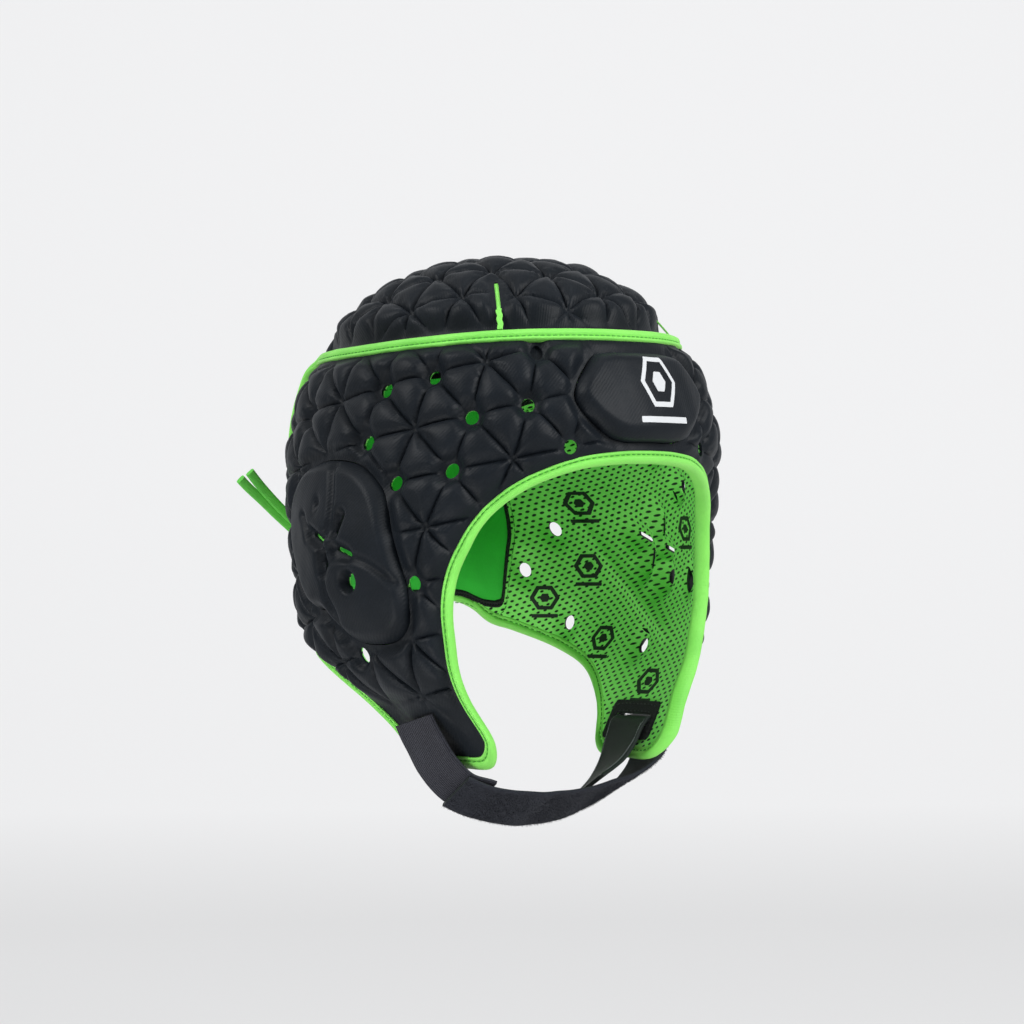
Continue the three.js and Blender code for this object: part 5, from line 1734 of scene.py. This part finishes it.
@dataclass
class Bindings:
    """Lime tape folded round every open edge, with its stitch lines."""

    finishes: Finishes
    stitching: Stitching
    face_width: float = 5.8
    nape_width: float = 5.4

    @staticmethod
    def frames(run: Array, edge: Edge) -> Array:
        """Unit directions into the cloth along a pattern run."""
        tangent = np.gradient(run, axis=0)
        across = unit(np.stack([-tangent[:, 1], tangent[:, 0]], 1))
        inside = edge(*(run + across).T) < edge(*(run - across).T)
        return np.where(inside[:, None], across, -across)

    def section(self, top: float, back: float, width: float) -> tuple[Array, Array]:
        """The tape's outline: a flat lip, a stitched groove and a round roll.

        Args:
            top: Depth of the tape's outer face.
            back: Depth of its inner face.
            width: Width of the tape on the pattern.

        Returns:
            Places across, and their depths.
        """
        middle, thick = (top + back) / 2, back - top
        shape = [
            (1.00, middle + 0.1), (1.00, top + 1.3), (0.96, top + 0.75), (0.88, top + 0.55),
            (0.80, top + 0.62), (0.74, top + 0.95), (0.69, top + 1.25), (0.64, top + 0.95),
            (0.58, top + 0.45), (0.48, top + 0.12), (0.36, top), (0.22, top + 0.06 * thick),
            (0.10, top + 0.17 * thick), (0.025, top + 0.33 * thick), (0.0, middle),
        ]
        shape += [(across, 2 * middle - deep) for across, deep in shape[-2:0:-1]]
        table = np.array(shape)
        return table[:, 0] * width, table[:, 1]

    def tape(self, name: str, node: str, run: Array, edge: Edge, top: float, back: float,
             width: float = 5.0) -> tuple[Array, Array]:
        """Sweeps the folded tape along a run.

        Args:
            name: Name of the piece.
            node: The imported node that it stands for.
            run: Edge run on the pattern.
            edge: Signed distance to the cloth.
            top: Depth of the tape's outer face.
            back: Depth of its inner face.
            width: Width of the tape on the pattern.

        Returns:
            The run and its directions into the cloth.
        """
        across = self.frames(run, edge)
        offset, deep = self.section(top, back, width)
        middle, sides = (top + back) / 2, len(offset)
        length = lengths(run)
        swell = 1 + 0.03 * ripple(length, length * 0, 17, 21, 2)
        u = run[:, :1] + across[:, :1] * offset[None]
        v = run[:, 1:] + across[:, 1:] * offset[None]
        depths = middle + (deep[None] - middle) * swell[:, None] - LAYERS.proud(run[:, 0], run[:, 1])[:, None]
        verts = SHELL.point(u, v, depths).reshape(-1, 3)
        faces = outward(verts, tube_faces(len(run), sides, closed=False))
        around = np.concatenate([[0], np.cumsum(np.hypot(np.diff(offset), np.diff(deep)))])
        pattern = ring_pattern(length, around) * MM
        settle(make_object(name, verts, faces, self.finishes.tape, pattern), [node])
        return run, across

    def seam(self, name: str, run: Array, across: Array, width: float, sink: float) -> None:
        """Sews a row of stitches in the tape's groove."""
        u = run[:, 0] + across[:, 0] * SEAM_SHARE * width
        v = run[:, 1] + across[:, 1] * SEAM_SHARE * width
        line = SHELL.point(u, v, sink - LAYERS.proud(run[:, 0], run[:, 1]))
        self.stitching.sew(name, [line], self.finishes.thread, Slot.TAPE)

    def build(self) -> None:
        """Builds the three tapes."""
        half = LINES.run(LINES.top + LINES.rear, 200)
        tucked = np.concatenate([(half * [-1, 1])[::-1], half[1:]])
        top, width = LAYERS.binding_top - 0.6, LAYERS.binding_width
        run, across = self.tape("top_and_rear_tape", "top_binding", tucked, LINES.band_edge, top,
                                LAYERS.tuck_back + 0.6, width)
        self.seam("top_tape_stitches", run, across, width, top + 1.0)
        half = LINES.run(LINES.rear[-1:] + LINES.neck + LINES.tab + LINES.face, 320)
        opened = np.concatenate([half, (half * [-1, 1])[::-1][1:]])
        top, width = LAYERS.pressed_open - 1.4, self.face_width
        run, across = self.tape("face_and_neck_tape", "face_binding", opened, LINES.band_edge, top,
                                LAYERS.binding_back, width)
        self.seam("face_tape_stitches", run, across, width, top + 1.0)
        self.seam("face_tape_inner_stitches", run, across, width, LAYERS.binding_back - 1.0)
        half = LINES.run(((151, 0.744), (156, 0.725), (160.5, 0.702)) + LINES.nape, 60)
        nape = np.concatenate([half, ([2 * SHELL.along(180), 0] + half * [-1, 1])[::-1][1:]])
        top, width = LAYERS.panel - 1, self.nape_width
        run, across = self.tape("nape_tape", "nape_binding", nape, self.nape_edge, top,
                                LAYERS.binding_back, width)
        self.seam("nape_tape_stitches", run, across, width, top + 1.0)
        self.seam("nape_tape_inner_stitches", run, across, width, LAYERS.binding_back - 1.0)

    @staticmethod
    def nape_edge(u: Array, v: Array) -> Array:
        """Distance to the crown's outline, with u counted past the back centre."""
        wrapped = np.where(u > SHELL.along(180), u - 2 * SHELL.along(180), u)
        return LINES.crown_edge(wrapped, v)


@dataclass
class Prints:
    """Plain printed marks: a hexagon on the forehead and ring marks on the lining."""

    finishes: Finishes
    pads: SmoothPads
    linings: Linings
    step: float = 0.55

    def stamp(self, edge: Edge, centre: Sequence[float], half: float, outer: Edge,
              thick: float) -> tuple[Array, Array, Array]:
        """Cuts a print from a fine grid and lays it on a face.

        Args:
            edge: Signed distance to the mark, from its centre.
            centre: Pattern place of the mark.
            half: Half the size of the grid.
            outer: Depth of the face that it lies on.
            thick: Thickness toward the viewer, negative on an inner face.

        Returns:
            Vertices, faces and pattern places.
        """
        points, tris = clip(*square_grid(half, int(2 * half / self.step)), edge)
        points = points + np.asarray(centre)
        base = outer(points[:, 0], points[:, 1])
        face, under = base - thick, base + 0.05 * np.sign(thick)
        return closed_layer(points, tris, SHELL.point(*points.T, face), SHELL.point(*points.T, under))

    @staticmethod
    def mark(size: Array, ring: float, line: float, core: float, bar: Array) -> Array:
        """Distance to a ring with a solid core, and a bar beneath.

        Args:
            size: Size of the ring's form through each place.
            ring: Size of the ring along the middle of its line.
            line: Half the width of that line.
            core: Size of the core.
            bar: Distance to the bar.

        Returns:
            The distance at each place.
        """
        return np.minimum.reduce([np.abs(size - ring) - line, size - core, bar])

    def build_forehead(self) -> None:
        """Prints the forehead mark."""

        def hexagon(u: Array, v: Array) -> Array:
            """Size of the hexagon through each place."""
            return np.maximum.reduce([np.abs(v), np.abs(v * 0.5 + u * 0.8660), np.abs(v * 0.5 - u * 0.8660)])

        def edge(u: Array, v: Array) -> Array:
            """Distance to the mark."""
            bar = box_edge((0, -13.4), (15.5, 1.3), 0.4)(u, v)
            return self.mark(hexagon(u, v - 3.0), 9.8, 1.1, 4.2, bar)

        verts, faces, pattern = self.stamp(edge, (-3.5, -53.0), 19.0, self.pads.forehead_sink, 0.14)
        settle(make_object("forehead_print", verts, faces, self.finishes.white_print, pattern))

    def build_lining(self) -> None:
        """Prints the ring marks on both sides of the lining."""

        def edge(u: Array, v: Array) -> Array:
            """Distance to the mark."""
            across, up = u * 0.62, v - 2.0
            size = np.maximum(np.abs(up), np.abs(up * 0.5) + np.abs(across) * 0.866)
            return self.mark(size, 4.8, 0.85, 1.9, box_edge((0, -6.6), (9.5, 0.85), 0.4)(u, v))

        places = ((114.5, -101), (133, -146), (66.5, -114), (116, -131), (105.5, -165), (74, -184))
        rows = [self.stamp(edge, (side.value * SHELL.along(degrees), z), 13.0, self.linings.face, -0.22)
                for side in Side for degrees, z in places]
        offsets = np.cumsum([0] + [len(row[0]) for row in rows])
        verts = np.concatenate([row[0] for row in rows])
        faces = np.concatenate([row[1] + offset for row, offset in zip(rows, offsets)])
        pattern = np.concatenate([row[2] for row in rows])
        settle(make_object("lining_prints", verts, faces, self.finishes.black_print, pattern))


@dataclass
class ChinStrap:
    """Ribbed elastic on the right tab and the tape that runs through the left tab's slot."""

    finishes: Finishes
    stitching: Stitching
    width: float = 25.5
    thickness: float = 1.8
    elastic_rows: tuple = (
        ((-68.5, -21, -194.5), (-0.88, -0.12, -0.46)), ((-64.3, -23.5, -204.5), (-0.88, -0.14, -0.46)),
        ((-60.2, -26.5, -214), (-0.84, -0.2, -0.5)), ((-53, -31.2, -223.4), (-0.68, -0.32, -0.66)),
        ((-41.8, -35.6, -228.4), (-0.52, -0.42, -0.74)),
    )
    strap_rows: tuple = (
        ((-54.4, -32, -225.5), (-0.68, -0.32, -0.66)), ((-42.6, -36.6, -230.8), (-0.52, -0.42, -0.74)),
        ((-22, -39.4, -234.4), (-0.20, -0.58, -0.79)), ((0, -39, -234.6), (0.08, -0.58, -0.81)),
        ((20, -37, -231.8), (0.34, -0.5, -0.79)), ((40, -34, -227), (0.58, -0.34, -0.74)),
        ((57.8, -31, -217.5), (0.74, -0.2, -0.64)), ((63.6, -29.2, -209), (0.88, -0.12, -0.46)),
        ((66.8, -28, -201), (0.90, -0.05, -0.3)), ((66.3, -27.4, -198.4), (0.4, -0.05, 0.9)),
        ((60, -26.6, -198.4), (0, 0, 1)), ((54, -26.2, -198.7), (-0.4, 0.05, 0.9)),
        ((50.6, -26.4, -202.5), (-0.86, 0.1, 0.5)), ((43.6, -28.6, -212), (-0.80, 0.2, 0.55)),
        ((34, -31.4, -220.4), (-0.55, 0.35, 0.74)), ((19, -35.1, -227.9), (-0.40, 0.46, 0.79)),
    )
    fibres_per_area: float = 2.6e6
    fibre_length: float = 0.0011
    fibre_width: float = 0.00016

    @staticmethod
    def ribbon(rows: Sequence, count: int) -> dict[str, Array]:
        """Samples a ribbon's places and directions.

        Args:
            rows: Listed centres and outward directions, in millimetres.
            count: Number of steps along.

        Returns:
            Arrays by name: at, out, across and the length run.
        """
        t = np.linspace(0, 1, count + 1)
        at = Spline(np.array([row[0] for row in rows], float)).at(t)
        facing = Spline(np.array([row[1] for row in rows], float)).at(t)
        tangent = unit(np.gradient(at, axis=0))
        out = unit(facing - (facing * tangent).sum(1)[:, None] * tangent)
        return {"at": at * MM, "out": out, "across": np.cross(tangent, out), "run": lengths(at) * MM}

    def section(self, steps: int = 12) -> Array:
        """A flat section with rounded edges, counter-clockwise.

        Args:
            steps: Points along each face.

        Returns:
            Points (across, out) in metres.
        """
        w, h = self.width / 2, self.thickness / 2
        line = np.linspace(-w + 0.5, w - 0.5, steps)
        top = np.stack([line[::-1], np.full(steps, h)], 1)
        bottom = np.stack([line, np.full(steps, -h)], 1)
        left, right = [[-w, h * 0.45], [-w, -h * 0.45]], [[w, -h * 0.45], [w, h * 0.45]]
        return np.concatenate([bottom, right, top, left]) * MM

    def band(self, name: str, node: str, rows: Sequence, count: int,
             material: bpy.types.Material) -> tuple[bpy.types.Object, dict[str, Array]]:
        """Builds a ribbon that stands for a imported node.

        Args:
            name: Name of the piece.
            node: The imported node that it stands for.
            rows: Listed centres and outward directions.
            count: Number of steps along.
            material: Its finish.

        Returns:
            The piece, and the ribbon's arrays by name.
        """
        frames = self.ribbon(rows, count)
        section = self.section()
        wave = 0.22 * MM * ripple(frames["run"] / MM, frames["run"] * 0, 22, 31)
        centre = frames["at"] + frames["out"] * wave[:, None]
        verts, faces = sweep(centre, frames["across"], frames["out"], section)
        faces = outward(verts, faces)
        pattern = ring_pattern(frames["run"], section[:, 0])[:, ::-1]
        obj = make_object(name, verts, faces, material, pattern)
        return settle(obj, [node]), frames

    def build(self) -> None:
        """Builds the elastic, the strap, its pile and the stitched patch."""
        self.band("ribbed_chin_elastic", "chin_elastic", self.elastic_rows, 90, self.finishes.elastic)
        strap, frames = self.band("loop_chin_strap", "chin_strap", self.strap_rows, 260, self.finishes.pile)
        strap.data.materials.append(self.finishes.hook)
        fold = int(np.argmax(frames["at"][:, 0]))
        sides = len(self.section())
        for n, polygon in enumerate(strap.data.polygons):
            if n // sides > fold + 12:
                polygon.material_index = 1
        self.build_pile(frames, fold)
        edge = self.width / 2 * MM - 0.0011
        lift = frames["out"] * (self.thickness / 2 + 0.08) * MM
        lines = [(frames["at"] + frames["across"] * hand * edge + lift)[fold + 14:] for hand in (1, -1)]
        self.stitching.sew("strap_edge_threads", lines, self.finishes.grey_thread, Slot.STRAP,
                           pitch=0.0016, length=0.0018, width=0.00035)
        self.build_patch()

    def build_pile(self, frames: dict[str, Array], fold: int) -> None:
        """Plants the short fibres of the loop pile on the strap's outer face.

        Args:
            frames: The ribbon's arrays by name.
            fold: Row at which the strap turns through the slot.
        """
        keep = slice(0, fold - 6)
        at, out, across = frames["at"][keep], frames["out"][keep], frames["across"][keep]
        w, h = self.width / 2 * MM, (self.thickness / 2 - 0.1) * MM
        rows = np.stack([at + across * offset * w + out * h * (1 if abs(offset) < 1 else 0.2)
                         for offset in (-1, -0.93, 0, 0.93, 1)], 1)
        faces = strip_quads(len(at), 5)
        mesh = bpy.data.meshes.new("strap_pile")
        mesh.from_pydata(rows.reshape(-1, 3).tolist(), [], faces.tolist())
        first = mesh.polygons[0].normal
        if first.dot(Vector(out[0])) < 0:
            mesh.flip_normals()
        obj = add_object("strap_pile", mesh)
        grow(obj, pile_tree(), {
            "Density": self.fibres_per_area, "Fibre Length": self.fibre_length,
            "Fibre Width": self.fibre_width, "Seed": 7, "Material": self.finishes.pile,
        })
        settle(obj)

    def build_patch(self) -> None:
        """Sews the black patch round the slot, inside the left tab."""
        centre = (-SHELL.along(SLITS.slot_centre[0]), SHELL.height(SLITS.slot_centre[1]))
        half = (SLITS.slot_half[0] + 4.0, SLITS.slot_half[1] + 6.0)
        border = box_edge((0, 0), half, 3.0)

        def edge(u: Array, v: Array) -> Array:
            """Distance to the patch's border and the slot."""
            return np.maximum(border(u, v), -SLITS.slot(u + centre[0], v + centre[1]))

        points, tris = clip(*square_grid(max(half) + 2, 64), edge)
        points = points + np.asarray(centre)
        outer, inner = SHELL.point(*points.T, 12.15), SHELL.point(*points.T, 13.0)
        settle(lay("slot_patch_cloth", self.finishes.patch, points, tris, outer, inner))
        turn = np.linspace(0, 2 * math.pi, 120)
        for n, inset in enumerate((1.4, 4.6)):
            ring = squircle(turn, 0.35) * [half[0] - inset, half[1] - inset] + centre
            self.stitching.sew(f"slot_patch_stitches_{n + 1}", [SHELL.point(*ring.T, 13.05)],
                               self.finishes.black_thread, Slot.STRAP)


@dataclass
class BackLace:
    """Loops on the rear edges, the lace between them, its knot and its two free ends."""

    finishes: Finishes
    shares: tuple = (0.47, 0.545, 0.62)
    reach: float = 7.0
    loop_width: float = 5.0
    loop_wall: float = 0.9
    loop_top: float = 0.4
    loop_back: float = 6.6
    diameter: float = 2.0
    knot_share: float = 0.655
    knot_entry: float = 0.0155
    knot_size: tuple = (10.0, 8.0, 7.0)
    tail_width: float = 4.4
    tail_thickness: float = 2.0
    upper_tail: tuple = ((-5.6, 84.5, -134.8), (-12, 89, -129.5), (-24, 93.5, -121.5), (-38, 95.5, -112.5),
                         (-50, 95, -104.4), (-60, 93.5, -97), (-69, 91.5, -90), (-75.8, 89.5, -84.4))
    lower_tail: tuple = ((-5.6, 83, -139), (-13, 89.5, -134.5), (-26, 95, -125), (-40, 98, -114.4),
                         (-53, 98, -104.9), (-64, 96, -97.4), (-74, 93.5, -91.2), (-80, 91, -87.6))

    def __post_init__(self) -> None:
        """Finds where the loops stand on the rear edge."""
        run = LINES.tucked_run
        across = Bindings.frames(run, LINES.band_edge)
        rear = run[:, 0] > SHELL.along(135)
        run, across = run[rear], across[rear]
        picks = [int(np.argmin(np.abs(run[:, 1] - SHELL.height(share)))) for share in self.shares]
        self.rows = [(run[n], across[n]) for n in picks]
        self.deep = (self.loop_top + self.loop_back) / 2

    def beside(self, n: int, across: Array, rise: Array) -> tuple[Array, Array]:
        """Pattern place beside loop n on the wearer's right."""
        (u, v), (ax, ay) = self.rows[n]
        return u + across * ax + rise * ay, v + across * ay + rise * abs(ax)

    def build_tails(self) -> None:
        """Builds the two free ends of the lace as cords."""
        flat = oval(self.tail_width * MM, self.tail_thickness * MM, 14, 0.7)
        for name, route in (("upper", self.upper_tail), ("lower", self.lower_tail)):
            path = Spline(np.array(route, float)).spaced(70) * MM
            obj = self.tube(f"lace_end_{name}", path, flat)
            settle(obj, [f"lace_tail_{name}"])

    def tube(self, name: str, path: Array, section: Array, closed: bool = False,
             up: Sequence[float] = (0.0, 0.0, 1.0)) -> bpy.types.Object:
        """Sweeps a section along a path with a steady turn.

        Args:
            name: Name of the piece.
            path: Places along it, in metres.
            section: Points of the section, in metres.
            closed: Whether the path is a ring.
            up: Direction that the section's first axis starts from.

        Returns:
            The new object.
        """
        tangent = np.gradient(path, axis=0)
        if closed:
            tangent = np.roll(path, -1, axis=0) - np.roll(path, 1, axis=0)
        tangent = unit(tangent)
        across = np.empty_like(path)
        last = np.asarray(up, float)
        for n, along in enumerate(tangent):
            last = last - np.dot(last, along) * along
            last /= np.linalg.norm(last)
            across[n] = last
        verts, faces = sweep(path, across, np.cross(tangent, across), section, closed)
        faces = outward(verts, faces)
        around = np.linspace(0, np.abs(section).sum() / len(section) * 6, len(section))
        pattern = ring_pattern(lengths(path), around)
        return make_object(name, verts, faces, self.finishes.lace, pattern)

    def build_loops(self) -> None:
        """Builds the six cloth loops."""
        turn = np.linspace(0, 2 * math.pi, 33)[:-1]
        half = np.array([self.reach / 2, (self.loop_back - self.loop_top) / 2])
        shape = squircle(turn, 0.45)
        rises = np.linspace(-self.loop_width / 2, self.loop_width / 2, 7)
        for side in Side:
            for n in range(len(self.shares)):
                rings = []
                for rise, inset in [(r, 0.0) for r in rises] + [(r, self.loop_wall) for r in rises[::-1]]:
                    place = shape * (half - inset)
                    u, v = self.beside(n, -0.3 - self.reach / 2 + place[:, 0], np.full(len(turn), rise))
                    rings.append(SHELL.point(u * side.value, v, self.deep + place[:, 1]))
                verts = np.concatenate(rings)
                faces = outward(verts, tube_faces(len(rings), len(turn), closed=True))
                pattern = ring_pattern(np.arange(len(rings)), np.arange(len(turn))) * 0.0006
                place_name = f"{side.name.lower()}_{n + 1}"
                obj = make_object(f"cloth_loop_{place_name}", verts, faces, self.finishes.tape, pattern, 70)
                settle(obj, [f"lace_loop_{place_name}"])

    def build_lace(self) -> None:
        """Builds the lace that crosses between the loops."""
        over, under = self.deep - self.diameter / 2 - 0.3, self.deep + self.diameter / 2 + 0.3
        back = SHELL.along(180)
        high, middle, low = self.shares

        def through(n: int, hand: int, rises: Sequence[float]) -> list:
            """Places of the lace as it runs through loop n of one side."""
            places = [self.beside(n, -0.3 - self.reach / 2, rise) for rise in rises]
            return [(u if hand > 0 else 2 * back - u, v, self.deep) for u, v in places]

        up, down = (-6.5, -3.2, 3.2, 6.5), (6.5, 3.2, -3.2, -6.5)
        cross_high, cross_low = SHELL.height((high + middle) / 2), SHELL.height((middle + low) / 2)
        knot = SHELL.height(self.knot_share - self.knot_entry)
        route = [
            (back - 2.6, knot, self.deep - 2), *through(2, 1, up), (back, cross_low, over),
            *through(1, -1, up), (back, cross_high, under), *through(0, 1, up),
            (back, SHELL.height(high - 0.03), self.deep), *through(0, -1, down), (back, cross_high, over),
            *through(1, 1, down), (back, cross_low, under), *through(2, -1, down),
            (back + 2.6, knot, self.deep - 2),
        ]
        places = Spline(np.array(route, float)).spaced(60)
        path = Spline(SHELL.point(*places.T)).spaced(420)
        obj = self.tube("crossed_back_lace", path, oval(self.diameter * MM, self.diameter * MM, 10, 1.0))
        settle(obj, ["back_lace"])

    def build_knot(self) -> None:
        """Builds the knot as an overhand turn of the lace."""
        t = np.linspace(0, 2 * math.pi, 161)[:-1]
        x, y, z = np.sin(t) + 2 * np.sin(2 * t), np.cos(t) - 2 * np.cos(2 * t), -np.sin(3 * t)
        size = (np.array(self.knot_size) - self.diameter) / 2
        path = np.stack([x / 3 * size[0], z * size[1], y / 3 * size[2]], 1) * MM
        path = path + SHELL.point(SHELL.along(180), SHELL.height(self.knot_share), 0.0)
        section = oval(self.diameter * MM, self.diameter * MM, 10, 1.0)
        obj = self.tube("lace_knot_turns", path, section, closed=True, up=(0.1, 1, 0.2))
        settle(obj, ["lace_knot"])

    def build(self) -> None:
        """Builds all but the free ends, which are made first of all."""
        self.build_loops()
        self.build_lace()
        self.build_knot()


@dataclass
class Studio:
    """Camera, paper sweep and soft lights."""

    azimuth: float = -40.2
    elevation: float = -0.8
    roll: float = -0.5
    distance: float = 1.4
    target_right: float = 0.0045
    target_z: float = -0.104
    focal_px: float = 3094.0
    floor_z: float = -0.40
    wall_away: float = 1.25
    sky: float = 0.12
    seen_sky: float = 0.88
    lamps: tuple = (
        ("left_light", -62, 38, 1.5, 0.6, 15.0), ("right_light", 50, 24, 1.6, 0.8, 26.0),
        ("front_light", -20, -24, 1.9, 0.6, 15.0), ("lining_light", -30, -40, 0.42, 0.2, 0.7),
        ("top_light", 10, 78, 1.5, 0.8, 5.0),
    )

    def axes(self) -> tuple[Vector, Vector, Vector]:
        """Right, up and back directions of the camera."""
        a, e, r = (math.radians(x) for x in (self.azimuth, self.elevation, self.roll))
        back = Vector((math.sin(a) * math.cos(e), -math.cos(a) * math.cos(e), math.sin(e)))
        right = Vector((math.cos(a), math.sin(a), 0))
        up = back.cross(right)
        return right * math.cos(r) + up * math.sin(r), up * math.cos(r) - right * math.sin(r), back

    def build_camera(self) -> None:
        """Places the camera."""
        right, up, back = self.axes()
        a = math.radians(self.azimuth)
        target = Vector((math.cos(a), math.sin(a), 0)) * self.target_right + Vector((0, 0, self.target_z))
        data = bpy.data.cameras.new("camera")
        data.sensor_width = 36.0
        data.lens = self.focal_px * 36.0 / 1024.0
        data.clip_start, data.clip_end = 0.05, 30.0
        camera = add_object("camera", data)
        turn = Matrix((right, up, back)).transposed().to_4x4()
        camera.matrix_world = Matrix.Translation(target + back * self.distance) @ turn
        bpy.context.scene.camera = camera

    def build_sweep(self, paper: bpy.types.Material) -> None:
        """Lays the pale paper, flat in front and rising behind.

        Args:
            paper: Its material.
        """
        a = math.radians(self.azimuth)
        right = np.array([math.cos(a), math.sin(a), 0.0])
        away = np.array([-math.sin(a), math.cos(a), 0.0])
        bend = 0.35
        foot = self.wall_away - bend
        profile = [(-3.5, 0.0), (-1.0, 0.0), (foot, 0.0)]
        for t in np.linspace(0.08, math.pi / 2, 18):
            profile.append((foot + bend * math.sin(t), bend - bend * math.cos(t)))
        profile += [(self.wall_away, 1.2), (self.wall_away, 3.5)]
        verts = [(right * x + away * d + np.array([0, 0, self.floor_z + z])).tolist()
                 for d, z in profile for x in (-4.0, 4.0)]
        faces = [[2 * n, 2 * n + 1, 2 * n + 3, 2 * n + 2] for n in range(len(profile) - 1)]
        make_object("studio_sweep", np.array(verts), faces, paper)

    def lamp(self, name: str, azimuth: float, elevation: float, distance: float, size: float,
             power: float) -> None:
        """Adds a soft square light aimed at the guard.

        Args:
            name: Name of the light.
            azimuth: Its direction round the guard, in degrees.
            elevation: Its direction above the guard's middle, in degrees.
            distance: How far off it stands.
            size: Length of its sides.
            power: Its power in watts.
        """
        a, e = math.radians(azimuth), math.radians(elevation)
        place = Vector((math.sin(a) * math.cos(e), -math.cos(a) * math.cos(e), math.sin(e))) * distance
        target = Vector((0, 0, self.target_z))
        data = bpy.data.lights.new(name, "AREA")
        data.shape, data.size, data.energy = "SQUARE", size, power
        turn = place.to_track_quat("Z", "Y").to_matrix().to_4x4()
        add_object(name, data).matrix_world = Matrix.Translation(target + place) @ turn

    def build_light(self) -> None:
        """Adds the world light and the lamps."""
        world = bpy.data.worlds.new("studio_world")
        world.use_nodes = True
        tree = world.node_tree
        shader = tree.nodes["Background"]
        shader.inputs[0].default_value = (0.96, 0.98, 1.0, 1.0)
        path = tree.nodes.new("ShaderNodeLightPath")
        strength = tree.nodes.new("ShaderNodeMath")
        strength.operation = "MULTIPLY_ADD"
        strength.inputs[1].default_value = self.seen_sky - self.sky
        strength.inputs[2].default_value = self.sky
        tree.links.new(path.outputs["Is Camera Ray"], strength.inputs[0])
        tree.links.new(strength.outputs[0], shader.inputs[1])
        bpy.context.scene.world = world
        bpy.context.scene.view_settings.view_transform = "Standard"
        bpy.context.scene.view_settings.look = "None"
        for name, turn, elevation, distance, size, power in self.lamps:
            self.lamp(name, self.azimuth + turn, elevation, distance, size, power)


@dataclass
class HeadGuard:
    """The whole guard, built piece by piece."""

    finishes: Finishes = field(default_factory=Finishes)
    stitching: Stitching = field(default_factory=Stitching)

    def build(self) -> None:
        """Builds the cords first, then every layer."""
        lace = BackLace(self.finishes)
        lace.build_tails()
        LOG.info("lace ends laid")
        QuiltedBand(self.finishes).build()
        LOG.info("side band quilted")
        QuiltedCrown(self.finishes).build()
        LOG.info("crown quilted")
        pads = SmoothPads(self.finishes)
        pads.build()
        LOG.info("smooth pads shaped")
        linings = Linings(self.finishes, self.stitching)
        linings.build_band()
        linings.build_crown()
        linings.build_seam()
        LOG.info("linings laid")
        Bindings(self.finishes, self.stitching).build()
        LOG.info("edges taped")
        prints = Prints(self.finishes, pads, linings)
        prints.build_forehead()
        prints.build_lining()
        LOG.info("marks printed")
        ChinStrap(self.finishes, self.stitching).build()
        LOG.info("chin strap threaded")
        lace.build()
        LOG.info("back laced")


def main() -> None:
    """Builds the studio and the guard."""
    logging.basicConfig(level=logging.INFO, format="%(name)s: %(message)s")
    studio = Studio()
    studio.build_camera()
    guard = HeadGuard()
    guard.build()
    studio.build_sweep(guard.finishes.paper)
    studio.build_light()


if __name__ == "__main__":
    main()
